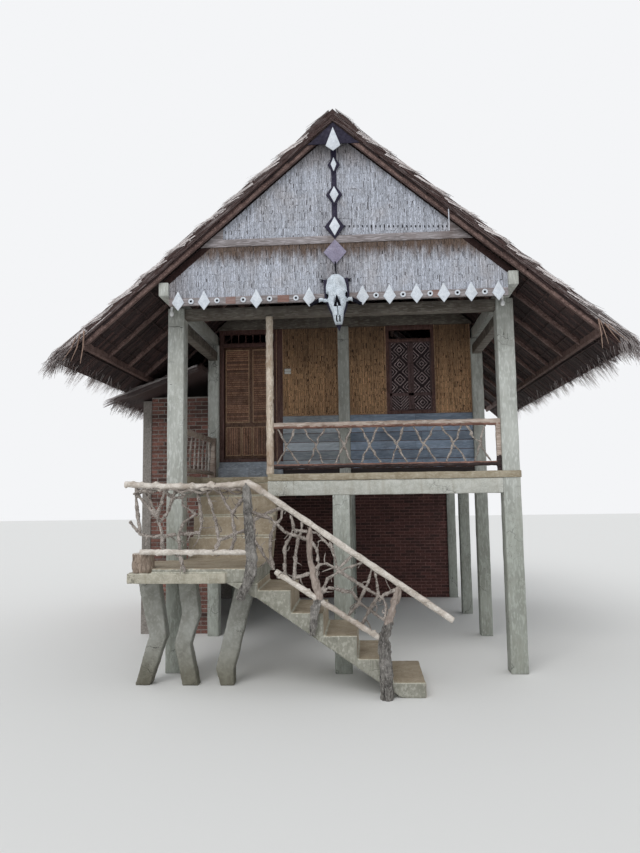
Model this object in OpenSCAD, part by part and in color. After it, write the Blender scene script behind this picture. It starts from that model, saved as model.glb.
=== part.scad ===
// Stilt house: concrete posts, a room with reed and board walls, a railed veranda,
// a cast stair with branch railings, and a thatched gable roof.
// Millimetres. The origin is the centre of the foot of the front middle post.
// +X is right as seen from the front, +Y runs into the house, +Z is up.

/* [Posts] */
// Distance from the middle posts to the outer posts
bay_x = 2250; // [2100:10:2400]
// Depth of the veranda, from the first row of posts to the second
veranda_depth = 2300; // [2100:10:2500]
// Depth of each of the two room bays behind it
room_bay = 2050; // [1900:10:2200]
// Side of a square post
post_w = 225; // [200:5:250]
// Side of a post behind the front row
rear_post_w = 190; // [170:5:200]

/* [Floors] */
// Height of the veranda floor
floor_z = 2600; // [2500:10:2700]
// Thickness of a floor slab
slab_t = 90; // [80:5:110]
// Height of a floor beam
floor_beam_h = 200; // [170:5:230]
// Rise from the veranda floor to the room floor
room_step = 290; // [250:10:330]
// Height of the low step in front of the door
door_step_h = 205; // [190:5:220]
// How far that step stands out
door_step_out = 90; // [70:5:120]
// How far the veranda slab stands out past the front of the posts
slab_lip = 12; // [5:1:25]

/* [Stair] */
// Height of the landing
landing_z = 1470; // [1430:10:1520]
// Height of the first step
first_step = 170; // [150:5:200]
// Number of rises from the first step to the landing
lower_rises = 5; // [5:1:5]
// Going of a lower step
lower_going = 385; // [370:5:400]
// Depth of the lower flight, front to back
flight_depth = 1030; // [980:10:1030]
// Thickness of the cast waist under the inner corners of the steps
waist_t = 84; // [70:2:100]
// Right end of the landing
landing_right = -955; // [-980:5:-930]
// Left end of the landing
landing_left = -2510; // [-2560:10:-2480]
// Thickness of the landing
landing_t = 170; // [160:5:180]
// Height of the lip that stands out under the front of the landing
lip_h = 118; // [110:2:126]
// Number of rises from the landing to the veranda
upper_rises = 4; // [4:1:4]
// Going of an upper step
upper_going = 260; // [245:5:270]
// Where the first upper riser stands, behind the post line
upper_start = 200; // [180:5:220]
// Right side of the upper flight
upper_right = -980; // [-1010:5:-970]

/* [Stair rail] */
// How far the plane of the stair rail lies in front of the flight
rail_out = 47.5; // [42.5:2.5:55]
// Thickness of the top pole
pole_d = 84; // [76:2:92]
// Thickness of the low rail
low_rail_d = 72; // [64:2:80]
// Thickness of the gnarled trunks that carry the rail
trunk_d = 100; // [90:2:110]
// Thickness of the corner stump
stump_d = 250; // [230:5:265]
// Height of the corner stump
stump_h = 225; // [205:5:245]
// Where the low rail of the landing lies above the landing
low_rail_rise = 200; // [180:5:220]
// Height of the top pole over the landing
top_rail_rise = 970; // [940:5:1000]

/* [Veranda rail] */
// Height of the middle of the top log over the floor
top_log_rise = 655; // [630:5:690]
// Thickness of the top log
top_log_d = 88; // [80:2:96]
// Height of the middle of the bottom log over the floor
bottom_log_rise = 100; // [90:5:120]
// Thickness of the bottom log
bottom_log_d = 64; // [56:2:70]
// Side of the newel at the back of the side railing
side_newel_w = 110; // [100:5:120]
// Thickness of a railing branch
branch_d = 36; // [30:1:40]
// Left end of the front railing, at the veranda pole
pole_x = -950; // [-960:5:-940]
// Thickness of the rough veranda pole
veranda_pole_d = 100; // [90:2:106]

/* [Walls] */
// Thickness of a room wall
wall_t = 70; // [60:5:90]
// Thickness of the dado boards
board_t = 20; // [16:1:24]
// Top of the board dado over the veranda floor
dado_rise = 1060; // [1020:10:1100]
// Height of the head of the door frame, over its barred light
door_head_h = 73; // [65:1:85]
// Height of the beam over the room walls
row_beam_h = 200; // [180:5:220]
// Width of that beam
row_beam_w = 120; // [100:5:140]
// Height of the sill of the door over the room floor
sill_h = 60; // [50:5:70]
// Height of the rail between the door leaf and its barred light
mid_rail_h = 60; // [50:1:70]
// Height of a tie beam between the posts of the veranda
tie_h = 145; // [130:5:160]
// Width of a tie beam
tie_w = 140; // [120:5:150]
// Width of the door leaf
leaf_w = 870; // [840:5:890]
// Height of the door leaf
leaf_h = 1940; // [1900:5:1970]
// Thickness of the door leaf
leaf_t = 42; // [38:1:46]
// Clear gap round the door leaf
leaf_gap = 7; // [7:0.5:9]
// Width of a frame member of the door
frame_w = 78; // [70:2:90]
// Width of the broad member at the latch side
broad_jamb_w = 140; // [120:5:150]
// How far the door frame stands out into the room
frame_out = 20; // [15:1:25]
// Diameter of a hinge pin
hinge_pin_d = 8; // [7:0.5:9]
// Length of a hinge
hinge_h = 90; // [75:5:100]
// Height of the barred light over the door
transom_h = 160; // [140:5:180]
// Left side of the window frame
window_left = 725; // [705:5:745]
// Width of the window frame
window_w = 820; // [790:5:840]
// Width of a frame member of the window
window_frame_w = 55; // [45:5:65]
// Thickness of a window leaf
window_leaf_t = 35; // [30:1:40]
// Gap between the two window leaves
window_leaf_gap = 2; // [1:0.5:3]
// Height of the head of the window frame
window_head_h = 75; // [65:5:85]
// Height of the dark light over the window
window_light_h = 160; // [140:5:180]

/* [Roof] */
// Pitch of the roof
roof_pitch = 40.7; // [40.2:0.1:41.2]
// How far the thatch reaches past the outer posts
eave_reach = 1370; // [1330:10:1400]
// Thickness of the thatch
thatch_t = 90; // [80:5:100]
// Number of courses of thatch on a slope, below the ridge cap
course_count = 9; // [8:1:11]
// How far the foot of a course stands out over the next one
course_rise = 35; // [25:5:45]
// Depth of a rafter
rafter_d = 60; // [50:5:70]
// Width of a rafter
rafter_w = 55; // [45:5:65]
// How far the feet of the rafters reach past the outer posts
rafter_reach = 1010; // [950:10:1030]
// Width of the purlins, and of the board along the rafter feet
purlin_w = 60; // [50:5:70]
// How far the gable stands out in front of the post line
gable_out = 650; // [620:5:680]
// How far the thatch stands out past the gable
verge_out = 130; // [110:5:150]
// Thickness of a gable mat
mat_t = 24; // [18:2:30]
// Thickness of the ridge cap
cap_t = 50; // [40:5:60]
// How far the ridge cap reaches down each side
cap_reach = 330; // [280:10:380]
// Number of rafters on each side
rafter_count = 11; // [10:1:12]
// How far the outer rafters lie inside the edge of the thatch
verge_margin = 25; // [15:5:35]

/* [Gable] */
// Height of the underside of the eave beam
eave_beam_z = 4925; // [4900:5:4940]
// Height of an eave beam
eave_beam_h = 177; // [165:1:190]
// Width of an eave beam
eave_beam_w = 124; // [110:2:140]
// How far an eave beam stands out past the gable
beam_out = 60; // [50:5:75]
// Foot of the gable mat
strip_z = 4800; // [4780:5:4815]
// Height of the painted strip along the foot of the mat
strip_h = 100; // [90:5:110]
// Underside of the cross board over the foot of the mat
board_rise = 770; // [750:5:790]
// How far the board and the strip stand out from the mat
trim_out = 15; // [10:1:20]
// Height of the cross board
board_h = 100; // [90:5:110]
// Number of places for kites along the strip
kite_places = 13; // [13:2:13]
// Distance from one place to the next
kite_pitch = 344; // [338:1:350]
// Width of a kite
kite_w = 162; // [150:2:172]
// Height of a kite
kite_h = 264; // [250:2:276]
// How far a kite hangs under the strip
kite_drop = 72; // [65:1:80]
// Outer diameter of a ring between kites
ring_d = 72; // [64:2:80]
// How far the dark board over the apex reaches down from the ridge
apex_drop = 424; // [400:4:440]
// Width of the kite on that board
apex_kite_w = 194; // [184:2:204]
// Height of the kite on that board
apex_kite_h = 326; // [306:4:342]
// Height of the skull
skull_h = 650; // [630:10:670]
// How far the skull is turned out of the upright
skull_tilt = 3; // [0:0.5:5]
// Depth of the skull
skull_d = 130; // [110:5:150]
// Length of a horn tip
horn_tip_l = 145; // [130:5:160]
// Length of a horn core
horn_l = 110; // [90:5:130]
// Thickness of a horn core
horn_d = 46; // [40:2:52]
// How far a lamp hangs to the left of the middle of its beam
bulb_off = 40; // [30:5:45]
// Length of a lamp
bulb_h = 130; // [110:5:150]
// Thickness of a lamp
bulb_w = 60; // [50:5:70]

/* [Annex] */
// Left side of the brick annex, at the outer face of its corner post
annex_left = -3540; // [-3600:10:-3500]
// How far the front of the annex lies behind the second row of posts
annex_back_off = 100; // [60:10:140]
// Height of the annex front wall, where the roof is not lower
annex_wall_z = 4060; // [4020:10:4100]
// Gap between the eave of the house and the roof of the annex
lean_gap = 8; // [5:1:12]
// Thickness of the annex thatch
lean_t = 74; // [65:1:85]
// How far the annex thatch reaches past its wall
lean_reach = 280; // [240:10:320]
// How far it reaches past the front wall
lean_verge = 600; // [560:10:640]
// Thickness of a brick wall
brick_t = 110; // [100:5:120]
// Side of the annex corner post
annex_post_w = 150; // [140:5:160]
// Pitch of the lean-to roof
lean_pitch = 20; // [19:0.5:21]

/* [Hidden] */

$fn = 48;
// Rows of posts, from the front
row2_y = veranda_depth;
row3_y = row2_y + room_bay;
row4_y = row3_y + room_bay;
post_face = post_w / 2;
rear_face = rear_post_w / 2;
// Gap that keeps sloping faces from sharing volume
slip = 0.05;

// Floors
slab_z = floor_z - slab_t;
beam_z = slab_z - floor_beam_h;
beam_w = 140;
room_z = floor_z + room_step;
room_slab_z = room_z - slab_t;
notch_left = -bay_x + post_face;
notch_back = upper_start + (upper_rises - 1) * upper_going;

// Stair
lower_rise = (landing_z - first_step) / lower_rises;
upper_rise = (floor_z - landing_z) / upper_rises;
flight_front = -post_face - flight_depth;
rail_y = flight_front - rail_out;
leg_y = flight_front * 0.52;
leg_depth = 160;
stair_slope = lower_rise / lower_going;

// Roof
pitch_tan = tan(roof_pitch);
pitch_cos = cos(roof_pitch);
rafter_top = thatch_t + slip;
rafter_under = rafter_top + rafter_d;
gable_y = -gable_out;
verge_y = gable_y - verge_out;
back_gable_y = row4_y + gable_out;
back_verge_y = back_gable_y + verge_out;
eave_beam_top = eave_beam_z + eave_beam_h;
ridge_z = eave_beam_top + (bay_x + eave_beam_w / 2) * pitch_tan
    + rafter_under / pitch_cos;
eave_x = bay_x + eave_reach;
rafter_x = bay_x + rafter_reach;
board_z = strip_z + board_rise;
roof_space_z = ridge_z - rafter_under / pitch_cos;
eave_beam_end = gable_y - beam_out;
eave_beam_back = back_gable_y + beam_out;
tie_z = eave_beam_z - tie_h;

// Room wall
wall_front = row2_y - wall_t / 2;
door_left = -bay_x + rear_face;
leaf_left = door_left + frame_w + leaf_gap;
door_right = leaf_left + leaf_w + leaf_gap + broad_jamb_w;
frame_back = wall_front + wall_t + frame_out;
leaf_z = room_z + sill_h;
transom_z = leaf_z + leaf_h + leaf_gap + mid_rail_h;
dado_z = floor_z + dado_rise;
row_beam_z = transom_z + transom_h + door_head_h;
wall_top = row_beam_z;
window_right = window_left + window_w;

// Height of a plane that lies depth below the thatch, at a distance from the ridge line
function roof_z(x, depth) = ridge_z - abs(x) * pitch_tan - depth / pitch_cos;

// A block given by its two corners
module block(from, to) {
    translate(from)
        cube(to - from);
}

// A square post with its foot on the ground
module post(x, y, w, top, foot = 0) {
    translate([x - w / 2, y - w / 2, foot])
        cube([w, w, top - foot]);
}

// A limb swept along a route that lies in the XZ plane. It tapers between two
// thicknesses, or takes one from a list at each point.
function limb_way(route, i) =
    let (a = route[max(i - 1, 0)], b = route[min(i + 1, len(route) - 1)],
        d = [b[0] - a[0], b[1] - a[1]])
    d / norm(d);

module limb(route, thick, thin, sides = 6) {
    last = len(route) - 1;
    rings = [for (i = [0:last])
        let (w = limb_way(route, i),
            d = is_list(thick) ? thick[i] : thick + (thin - thick) * i / last)
        for (k = [0:sides - 1])
            let (a = 360 * k / sides)
            [route[i][0] - w[1] * d / 2 * cos(a), d / 2 * sin(a),
                route[i][1] + w[0] * d / 2 * cos(a)]];
    walls = [for (i = [0:last - 1]) for (k = [0:sides - 1])
        let (a = i * sides + k, b = i * sides + (k + 1) % sides)
        each [[a, b, b + sides], [a, b + sides, a + sides]]];
    foot_cap = [[for (k = [sides - 1:-1:0]) k]];
    head_cap = [[for (k = [0:sides - 1]) last * sides + k]];
    polyhedron(rings, concat(walls, foot_cap, head_cap));
}

// Posts

module front_left_post() {
    color("#c9cdc0")
        post(-bay_x, 0, post_w, eave_beam_z);
}

module front_middle_post() {
    color("#c9cdc0")
        post(0, 0, post_w, beam_z);
}

module front_right_post() {
    color("#c9cdc0")
        post(bay_x, 0, post_w, eave_beam_z);
}

module second_row_posts() {
    color("#b7bdb2") {
        for (side = [-1, 1])
            post(side * bay_x, row2_y, rear_post_w, eave_beam_z);
        post(0, row2_y, rear_post_w, row_beam_z);
    }
}

module rear_posts() {
    color("#b7bdb2")
        for (y = [row3_y, row4_y]) {
            for (side = [-1, 1])
                post(side * bay_x, y, rear_post_w, eave_beam_z);
            post(0, y, rear_post_w, y == row4_y ? row_beam_z : beam_z);
        }
}

// Floors and beams

// Beams between the posts: two spans across, or one bay of both side beams
module cross_beams(y, top) {
    for (left = [-bay_x, 0])
        block([left + rear_face, y - beam_w / 2, beam_z],
            [left + bay_x - rear_face, y + beam_w / 2, top]);
}

module side_beams(near, far, top) {
    for (x = [-bay_x, bay_x])
        block([x - beam_w / 2, near, beam_z], [x + beam_w / 2, far, top]);
}

module floor_beams() {
    color("#c4c7ba") {
        block([upper_right, -post_face, beam_z], [bay_x - post_face, post_face, slab_z]);
        side_beams(post_face, row2_y - rear_face, slab_z);
        for (y = [row2_y, row3_y, row4_y])
            cross_beams(y, y == row2_y ? slab_z : room_slab_z);
        for (y = [row2_y, row3_y])
            side_beams(y + rear_face, y + room_bay - rear_face, room_slab_z);
    }
}

module veranda_floor() {
    edge = post_face + slab_lip;
    color("#a59a7c")
        difference() {
            block([-bay_x - edge, -edge, slab_z], [bay_x + edge, wall_front, floor_z]);
            block([notch_left, -edge - 1, slab_z - 1],
                [upper_right, notch_back, floor_z + 1]);
            block([-bay_x - edge - 1, -edge - 1, slab_z - 1],
                [notch_left + 1, post_face, floor_z + 1]);
            for (x = [-bay_x, bay_x])
                post(x, 0, post_w, floor_z + 1, slab_z - 1);
            for (x = [-bay_x, 0, bay_x])
                post(x, row2_y, rear_post_w, floor_z + 1, slab_z - 1);
        }
}

module room_floor() {
    color("#7f8a90")
        difference() {
            union() {
                block([-bay_x - wall_t / 2, wall_front, room_slab_z],
                    [bay_x + wall_t / 2, row4_y + wall_t / 2, room_z]);
                // The face of the step under the door and the dado
                block([door_left, wall_front, floor_z],
                    [bay_x - rear_face, wall_front + wall_t, room_slab_z]);
                // The step in front of the door
                block([door_left, wall_front - door_step_out, floor_z],
                    [door_right, wall_front, floor_z + door_step_h]);
            }
            for (x = [-bay_x, 0, bay_x])
                for (y = [row2_y, row3_y, row4_y])
                    if (x != 0 || y != row3_y)
                        post(x, y, rear_post_w, room_z + 1, slab_z - 1);
        }
}

module front_tie_beam() {
    color("#9c8f7c")
        block([-bay_x + post_face, -tie_w / 2, tie_z],
            [bay_x - post_face, tie_w / 2, eave_beam_z]);
}

module side_tie_beams() {
    top = eave_beam_z - 130;
    color("#a8a795")
        for (side = [-1, 1])
            block([side * bay_x - tie_w / 2, post_face, top - tie_h],
                [side * bay_x + tie_w / 2, row2_y - rear_face, top]);
}

// A beam across the house whose ends are cut to the slope of the rafters
module row_beams() {
    half = bay_x - eave_beam_w / 2;
    top = row_beam_z + row_beam_h;
    top_half = (roof_space_z - top) / pitch_tan;
    shoulder = roof_z(half, rafter_under + slip);
    color("#a8a795")
        for (y = [row2_y, row4_y])
            translate([0, y + row_beam_w / 2, 0])
                rotate([90, 0, 0])
                    linear_extrude(row_beam_w)
                        polygon([[-half, row_beam_z], [half, row_beam_z],
                            [half, shoulder], [top_half, top], [-top_half, top],
                            [-half, shoulder]]);
}

module eave_beams() {
    color("#b9b5a5")
        for (side = [-1, 1])
            block([side * bay_x - eave_beam_w / 2, eave_beam_end, eave_beam_z],
                [side * bay_x + eave_beam_w / 2, eave_beam_back, eave_beam_top]);
}

// Stair

landing_low_z = landing_z - landing_t;
// Height of the soffit of the lower flight, which runs parallel to the steps
function soffit(x) = landing_z - lower_rise - waist_t / cos(atan(stair_slope))
    - (x - landing_right) * stair_slope;
haunch_x = landing_right - (landing_low_z - soffit(landing_right)) / stair_slope;
flight_toe = landing_right + soffit(landing_right) / stair_slope;
flight_right = landing_right + lower_rises * lower_going;

module flight_solid() {
    // Risers are numbered from the bottom, and the first stands furthest right
    function riser_x(i) = flight_right - i * lower_going;
    steps = [for (i = [0:lower_rises - 1])
        each [[riser_x(i), i == 0 ? 0 : first_step + (i - 1) * lower_rise],
            [riser_x(i), first_step + i * lower_rise]]];
    translate([0, flight_front + flight_depth, 0])
        rotate([90, 0, 0])
            linear_extrude(flight_depth)
                polygon(concat(steps, [
                    [landing_right, landing_z - lower_rise],
                    [landing_right, landing_low_z],
                    [haunch_x, landing_low_z],
                    [flight_toe, 0]]));
}

module lower_flight() {
    color("#b3a98d")
        flight_solid();
}

// The landing is cast in two layers, and the lower one stands out at the front
module landing_slab() {
    lip_y = flight_front - 45;
    lip_right = haunch_x - 90;
    mid_z = landing_low_z + lip_h;
    color("#b0a88e") {
        block([landing_left, lip_y, landing_low_z], [lip_right, -post_face, mid_z]);
        block([lip_right, flight_front, landing_low_z],
            [landing_right, -post_face, mid_z]);
        block([landing_left + stump_d + 30, flight_front, mid_z],
            [landing_right, -post_face, landing_z]);
        block([landing_left, flight_front + stump_d + 10, mid_z],
            [landing_left + stump_d + 30, -post_face, landing_z]);
        block([notch_left, -post_face, landing_low_z],
            [upper_right, upper_start, landing_z]);
    }
}

module upper_flight() {
    steps = [for (i = [0:upper_rises - 1])
        each [[upper_start + i * upper_going, landing_z + i * upper_rise],
            [upper_start + i * upper_going,
                i == upper_rises - 1 ? slab_z : landing_z + (i + 1) * upper_rise]]];
    slope = upper_rise / upper_going;
    drop = waist_t * 1.4;
    color("#b3a98d")
        translate([notch_left, 0, 0])
            rotate([90, 0, 90])
                linear_extrude(upper_right - notch_left)
                    polygon(concat(steps, [
                        [notch_back + drop, slab_z],
                        [notch_back + drop, slab_z - floor_beam_h],
                        [upper_start + drop, landing_low_z],
                        [upper_start, landing_low_z]]));
}

// A cast leg. Its outline is given as shares of the landing's length and height.
module cast_leg(outline) {
    translate([0, leg_y + leg_depth / 2, 0])
        rotate([90, 0, 0])
            linear_extrude(leg_depth)
                polygon([for (p = outline) [rail_x(p[0]), p[1] * landing_low_z]]);
}

module landing_legs() {
    color("#c2c2b6") {
        cast_leg([[-0.03, 1], [0.07, 0.46], [-0.04, 0], [0.08, 0], [0.21, 0.45],
            [0.145, 1]]);
        cast_leg([[0.3, 1], [0.335, 0.65], [0.275, 0.385], [0.345, 0], [0.47, 0],
            [0.405, 0.37], [0.475, 0.65], [0.447, 1]]);
        difference() {
            cast_leg([[0.785, 1], [0.613, 0.155], [0.65, 0], [0.757, 0],
                [0.757, 0.155], [0.94, 1]]);
            flight_solid();
        }
    }
}

module corner_stump() {
    color("#a8937a")
        translate([landing_left + stump_d / 2 + 25, flight_front + stump_d / 2 - 20,
            landing_low_z + lip_h])
            cylinder(h = stump_h, d = stump_d);
}

// Stair rail. A place along it is 0 to 1 over the landing and 1 to 2 over the flight.
function rail_x(along) = along <= 1
    ? landing_left + along * (landing_right - landing_left)
    : landing_right + (along - 1) * (flight_right - landing_right);
// Places along the top pole, and its height there as a share of its height over the landing
pole_line = [[-0.025, 1.04], [0.19, 1], [0.64, 0.99], [0.81, 1], [0.93, 1.03], [1.01, 0.957],
    [2.17, -0.62]];
pole_route = [for (p = pole_line) [rail_x(p[0]), landing_z + p[1] * top_rail_rise]];
landing_rail = [for (p = [[0.1, 1], [0.5, 0.975], [0.96, 0.94]])
    [rail_x(p[0]), landing_z + p[1] * low_rail_rise]];
flight_rail = [for (p = [[1.11, 0.02], [1.4, 0.27], [1.755, 0.555]])
    [rail_x(p[0]), landing_z * (1 - p[1])]];

// Height of the top pole and of the low rails over a place
function pole_at(x) = lookup(x, pole_route);
function low_at(x) = lookup(x, concat(landing_rail, flight_rail));
// A route given as places along the rail and shares of the height between its rails
function rail_route(places) = [for (p = places)
    let (x = rail_x(p[0])) [x, low_at(x) + p[1] * (pole_at(x) - low_at(x))]];

module in_rail_plane() {
    translate([0, rail_y, 0])
        children();
}

module top_pole() {
    in_rail_plane()
        limb(pole_route, [0.75, 0.95, 0.85, 0.9, 1, 1, 1.05] * pole_d, sides = 10);
}

module trunks() {
    in_rail_plane() {
        limb(rail_route([[0.92, 1], [0.93, 0.6], [0.945, 0.27], [0.96, -0.1],
            [0.955, -0.3], [0.865, -0.68]]), [0.9, 1, 1.1, 1.2, 1.2, 0.8] * trunk_d,
            sides = 8);
        limb(rail_route([[1.32, 1], [1.32, 0.55], [1.345, 0.25], [1.38, 0.06],
            [1.35, -0.15], [1.33, -0.55]]), [0.55, 0.6, 0.65, 0.75, 0.9, 0.7] * trunk_d,
            sides = 8);
        limb([[rail_x(1.77), 0], [rail_x(1.765), landing_z * 0.22],
            [rail_x(1.755), landing_z * 0.46], [rail_x(1.8), landing_z * 0.63],
            [rail_x(1.855), landing_z * 0.85]], [1.5, 1.35, 1.2, 0.85, 0.7] * trunk_d,
            sides = 8);
    }
}

module low_rails() {
    in_rail_plane() {
        limb(landing_rail, low_rail_d, 0.9 * low_rail_d, 8);
        limb(flight_rail, low_rail_d, 0.95 * low_rail_d, 8);
    }
}

module stair_top_pole() {
    color("#cfc3ab")
        top_pole();
}

module stair_trunks() {
    color("#8f8778")
        difference() {
            trunks();
            top_pole();
            flight_solid();
            landing_slab();
            // The foot of the long trunk stands flat on the ground
            translate([rail_x(1.77), rail_y, -trunk_d])
                cube(2 * trunk_d, center = true);
        }
}

module stair_low_rails() {
    color("#b9ad98")
        difference() {
            low_rails();
            trunks();
            corner_stump();
        }
}

// Branches are fused where they cross, and cut where they meet the rails and trunks
module rail_branches(routes) {
    difference() {
        in_rail_plane()
            for (route = routes)
                limb(rail_route(route), 1.15 * branch_d, 0.8 * branch_d);
        top_pole();
        low_rails();
        trunks();
        landing_slab();
    }
}

module landing_branches() {
    color("#a59f92")
        rail_branches(landing_routes);
}

module flight_branches() {
    color("#a59f92")
        rail_branches(flight_routes);
}

// Branches over the landing
landing_routes = [
    [[0.45, -0.3], [0.41, -0.06], [0.4, 0.27], [0.44, 0.45], [0.53, 0.58], [0.43, 0.72],
        [0.42, 1]],
    [[0.4, 0.28], [0.56, 0.29], [0.575, 0.4], [0.565, 0.7], [0.54, 0.95]],
    [[0.68, 0], [0.71, 0.15], [0.69, 0.42], [0.65, 0.71], [0.6, 1]],
    [[0.8, 0], [0.83, 0.2], [0.81, 0.6], [0.77, 0.7], [0.7, 1]],
    [[0.81, 0.58], [0.92, 0.85]],
    [[0.28, 0], [0.27, 0.3], [0.23, 0.55], [0.12, 1]],
    [[0.23, 0.54], [0.3, 1]],
    [[0.25, 0.45], [0.31, 0.59], [0.38, 1]],
    [[0.22, 0.55], [0.08, 0.85], [0.07, 1]],
    [[0.38, 0.27], [0.21, 0.23], [0.1, 0.27], [0.02, 0.45]],
    [[0.1, 0.3], [0.07, 0.7], [0.06, 1]],
    [[0.26, 1], [0.35, 0.82], [0.45, 0.85]],
    [[0.7, 0.18], [0.92, 0.32]]];

// Branches over the flight
flight_routes = [
    [[1.1, 0], [1.08, 0.2], [1.085, 0.46], [1.11, 0.64], [1.15, 0.8], [1.16, 1]],
    [[1.17, 0], [1.17, 0.42], [1.21, 0.66], [1.225, 0.8], [1.2, 1]],
    [[1.225, 0], [1.235, 0.41], [1.25, 0.65], [1.27, 0.79], [1.28, 1]],
    [[0.95, 0.6], [1.08, 0.69], [1.18, 0.64], [1.255, 0.71], [1.34, 0.75], [1.365, 0.7],
        [1.375, 0.49]],
    [[0.95, 0.45], [1.07, 0.76], [1.16, 0.97]],
    [[0.97, 0.5], [0.985, 0.2], [1.1, 0]],
    [[1.23, 0.76], [1.3, 0.85], [1.37, 0.94], [1.44, 0.87], [1.45, 0.98]],
    [[1.44, 1], [1.465, 0.8], [1.49, 0.62]],
    [[1.2, 0], [1.25, 0.13], [1.33, 0.31], [1.375, 0.49], [1.42, 0.59], [1.49, 0.61],
        [1.59, 1]],
    [[1.375, 0.49], [1.36, 0.32], [1.38, 0.08]],
    [[1.38, 0.06], [1.43, 0.39], [1.5, 0.6], [1.545, 0.72], [1.66, 1]],
    [[1.54, 0], [1.61, 0.31], [1.67, 0.71], [1.7, 1]],
    [[1.62, 0], [1.73, 0.62], [1.72, 0.84], [1.7, 1]],
    [[1.5, 0.6], [1.63, 0.6], [1.76, 0.61], [1.775, 0.5], [1.765, 0.3]],
    [[1.83, 0.85], [1.76, 0.67], [1.735, 0.54]],
    [[1.4, 0.15], [1.43, 0.26], [1.575, 0.41], [1.62, 0.33], [1.76, 0.3]]];

// Veranda rail

module veranda_pole() {
    color("#b9a488")
        translate([pole_x, -post_face + veranda_pole_d / 2, floor_z])
            cylinder(h = tie_z - floor_z, d = veranda_pole_d);
}

rail_log_y = -post_face + 60;
rail_end_w = 60;
front_rail_left = pole_x + veranda_pole_d / 2;
front_rail_right = bay_x - post_face;

module front_rail_logs() {
    span = front_rail_right - front_rail_left;
    color("#b89b86") {
        translate([front_rail_left, rail_log_y, floor_z + top_log_rise])
            rotate([0, 90, 0])
                cylinder(h = span, d = top_log_d);
        translate([front_rail_left, rail_log_y, floor_z + bottom_log_rise])
            rotate([0, 90, 0])
                cylinder(h = span, d = bottom_log_d);
        block([front_rail_right - rail_end_w, rail_log_y - rail_end_w / 2, floor_z],
            [front_rail_right, rail_log_y + rail_end_w / 2, floor_z + top_log_rise]);
    }
}

// Crossed pairs, as shares of the rail's length: the feet at the top, then at the bottom
crossings = [[0.01, 0.1, 0.01, 0.12], [0.13, 0.24, 0.15, 0.23], [0.28, 0.36, 0.275, 0.36],
    [0.39, 0.48, 0.39, 0.49], [0.485, 0.595, 0.53, 0.61], [0.625, 0.74, 0.63, 0.74],
    [0.75, 0.855, 0.77, 0.87], [0.86, 0.96, 0.9, 0.98]];

module front_rail_branches() {
    span = front_rail_right - rail_end_w - front_rail_left;
    low = floor_z + bottom_log_rise;
    high = floor_z + top_log_rise;
    mid = (low + high) / 2;
    color("#a59f92")
        difference() {
            translate([front_rail_left, rail_log_y, 0])
                for (c = crossings) {
                    cross = span * (c[0] + c[1] + c[2] + c[3]) / 4;
                    limb([[c[0] * span, high], [cross - 8, mid + 10], [c[3] * span, low]],
                        branch_d, 0.85 * branch_d);
                    limb([[c[1] * span, high], [cross + 8, mid + 10], [c[2] * span, low]],
                        0.95 * branch_d, 0.8 * branch_d);
                }
            front_rail_logs();
            veranda_pole();
        }
}

side_rail_back = row2_y - rear_face - side_newel_w;

module side_rail_logs() {
    color("#a98c74") {
        translate([-bay_x, post_face, floor_z + top_log_rise])
            rotate([-90, 0, 0])
                cylinder(h = side_rail_back - post_face, d = top_log_d);
        translate([-bay_x, post_face, floor_z + bottom_log_rise])
            rotate([-90, 0, 0])
                cylinder(h = side_rail_back - post_face, d = bottom_log_d);
        block([-bay_x - side_newel_w / 2, side_rail_back, floor_z],
            [-bay_x + side_newel_w / 2, side_rail_back + side_newel_w,
                floor_z + top_log_rise + top_log_d / 2]);
    }
}

module side_rail_branches() {
    low = floor_z + bottom_log_rise;
    high = floor_z + top_log_rise;
    span = side_rail_back - post_face;
    count = 8;
    color("#8f8778")
        difference() {
            translate([-bay_x, post_face, 0])
                rotate([0, 0, 90])
                    for (i = [0:count - 1])
                        limb([[(i + 0.25) * span / count, low],
                            [(i + 0.4) * span / count, (low + high) / 2],
                            [(i + 0.75) * span / count, high]],
                            branch_d, 0.8 * branch_d);
            side_rail_logs();
        }
}

// Front wall of the room

module door_frame() {
    left = door_left + frame_w;
    right = door_right - broad_jamb_w;
    bars = 6;
    color("#6b4534") {
        block([door_left, wall_front, room_z], [left, frame_back, wall_top]);
        block([right, wall_front, room_z], [door_right, frame_back, wall_top]);
        block([left, wall_front, room_z], [right, frame_back, leaf_z - leaf_gap]);
        block([left, wall_front, leaf_z + leaf_h + leaf_gap],
            [right, frame_back, transom_z]);
        block([left, wall_front, transom_z + transom_h], [right, frame_back, wall_top]);
        for (i = [1:bars])
            translate([left + i * (right - left) / (bars + 1), wall_front + wall_t / 2,
                transom_z])
                cylinder(h = transom_h, d = 14);
    }
}

// The door turns about two pins behind its left edge, and opens into the room
knuckle_d = 2 * hinge_pin_d;
knuckle_clear = 2;
hinge_x = leaf_left - leaf_gap / 2;
hinge_y = frame_back + knuckle_clear + knuckle_d / 2;
plate_t = 4;
plate_w = 40;
plate_off = knuckle_d / 2 + knuckle_clear;
pin_clear = 0.05;
hinge_places = [leaf_z + 200, leaf_z + leaf_h - 200 - hinge_h];
knuckle_h = (hinge_h - 2 * knuckle_clear) / 3;

// One side of a hinge: a plate, and a tab out to the knuckle
module hinge_side(side, low, tab_low, tab_h) {
    mirror([side < 0 ? 1 : 0, 0, 0]) {
        translate([plate_off, frame_back, low])
            cube([plate_w, plate_t, hinge_h]);
        translate([0, frame_back, tab_low])
            cube([plate_off + 1, plate_t, tab_h]);
    }
    translate([0, hinge_y, tab_low])
        cylinder(h = tab_h, d = knuckle_d);
}

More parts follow.
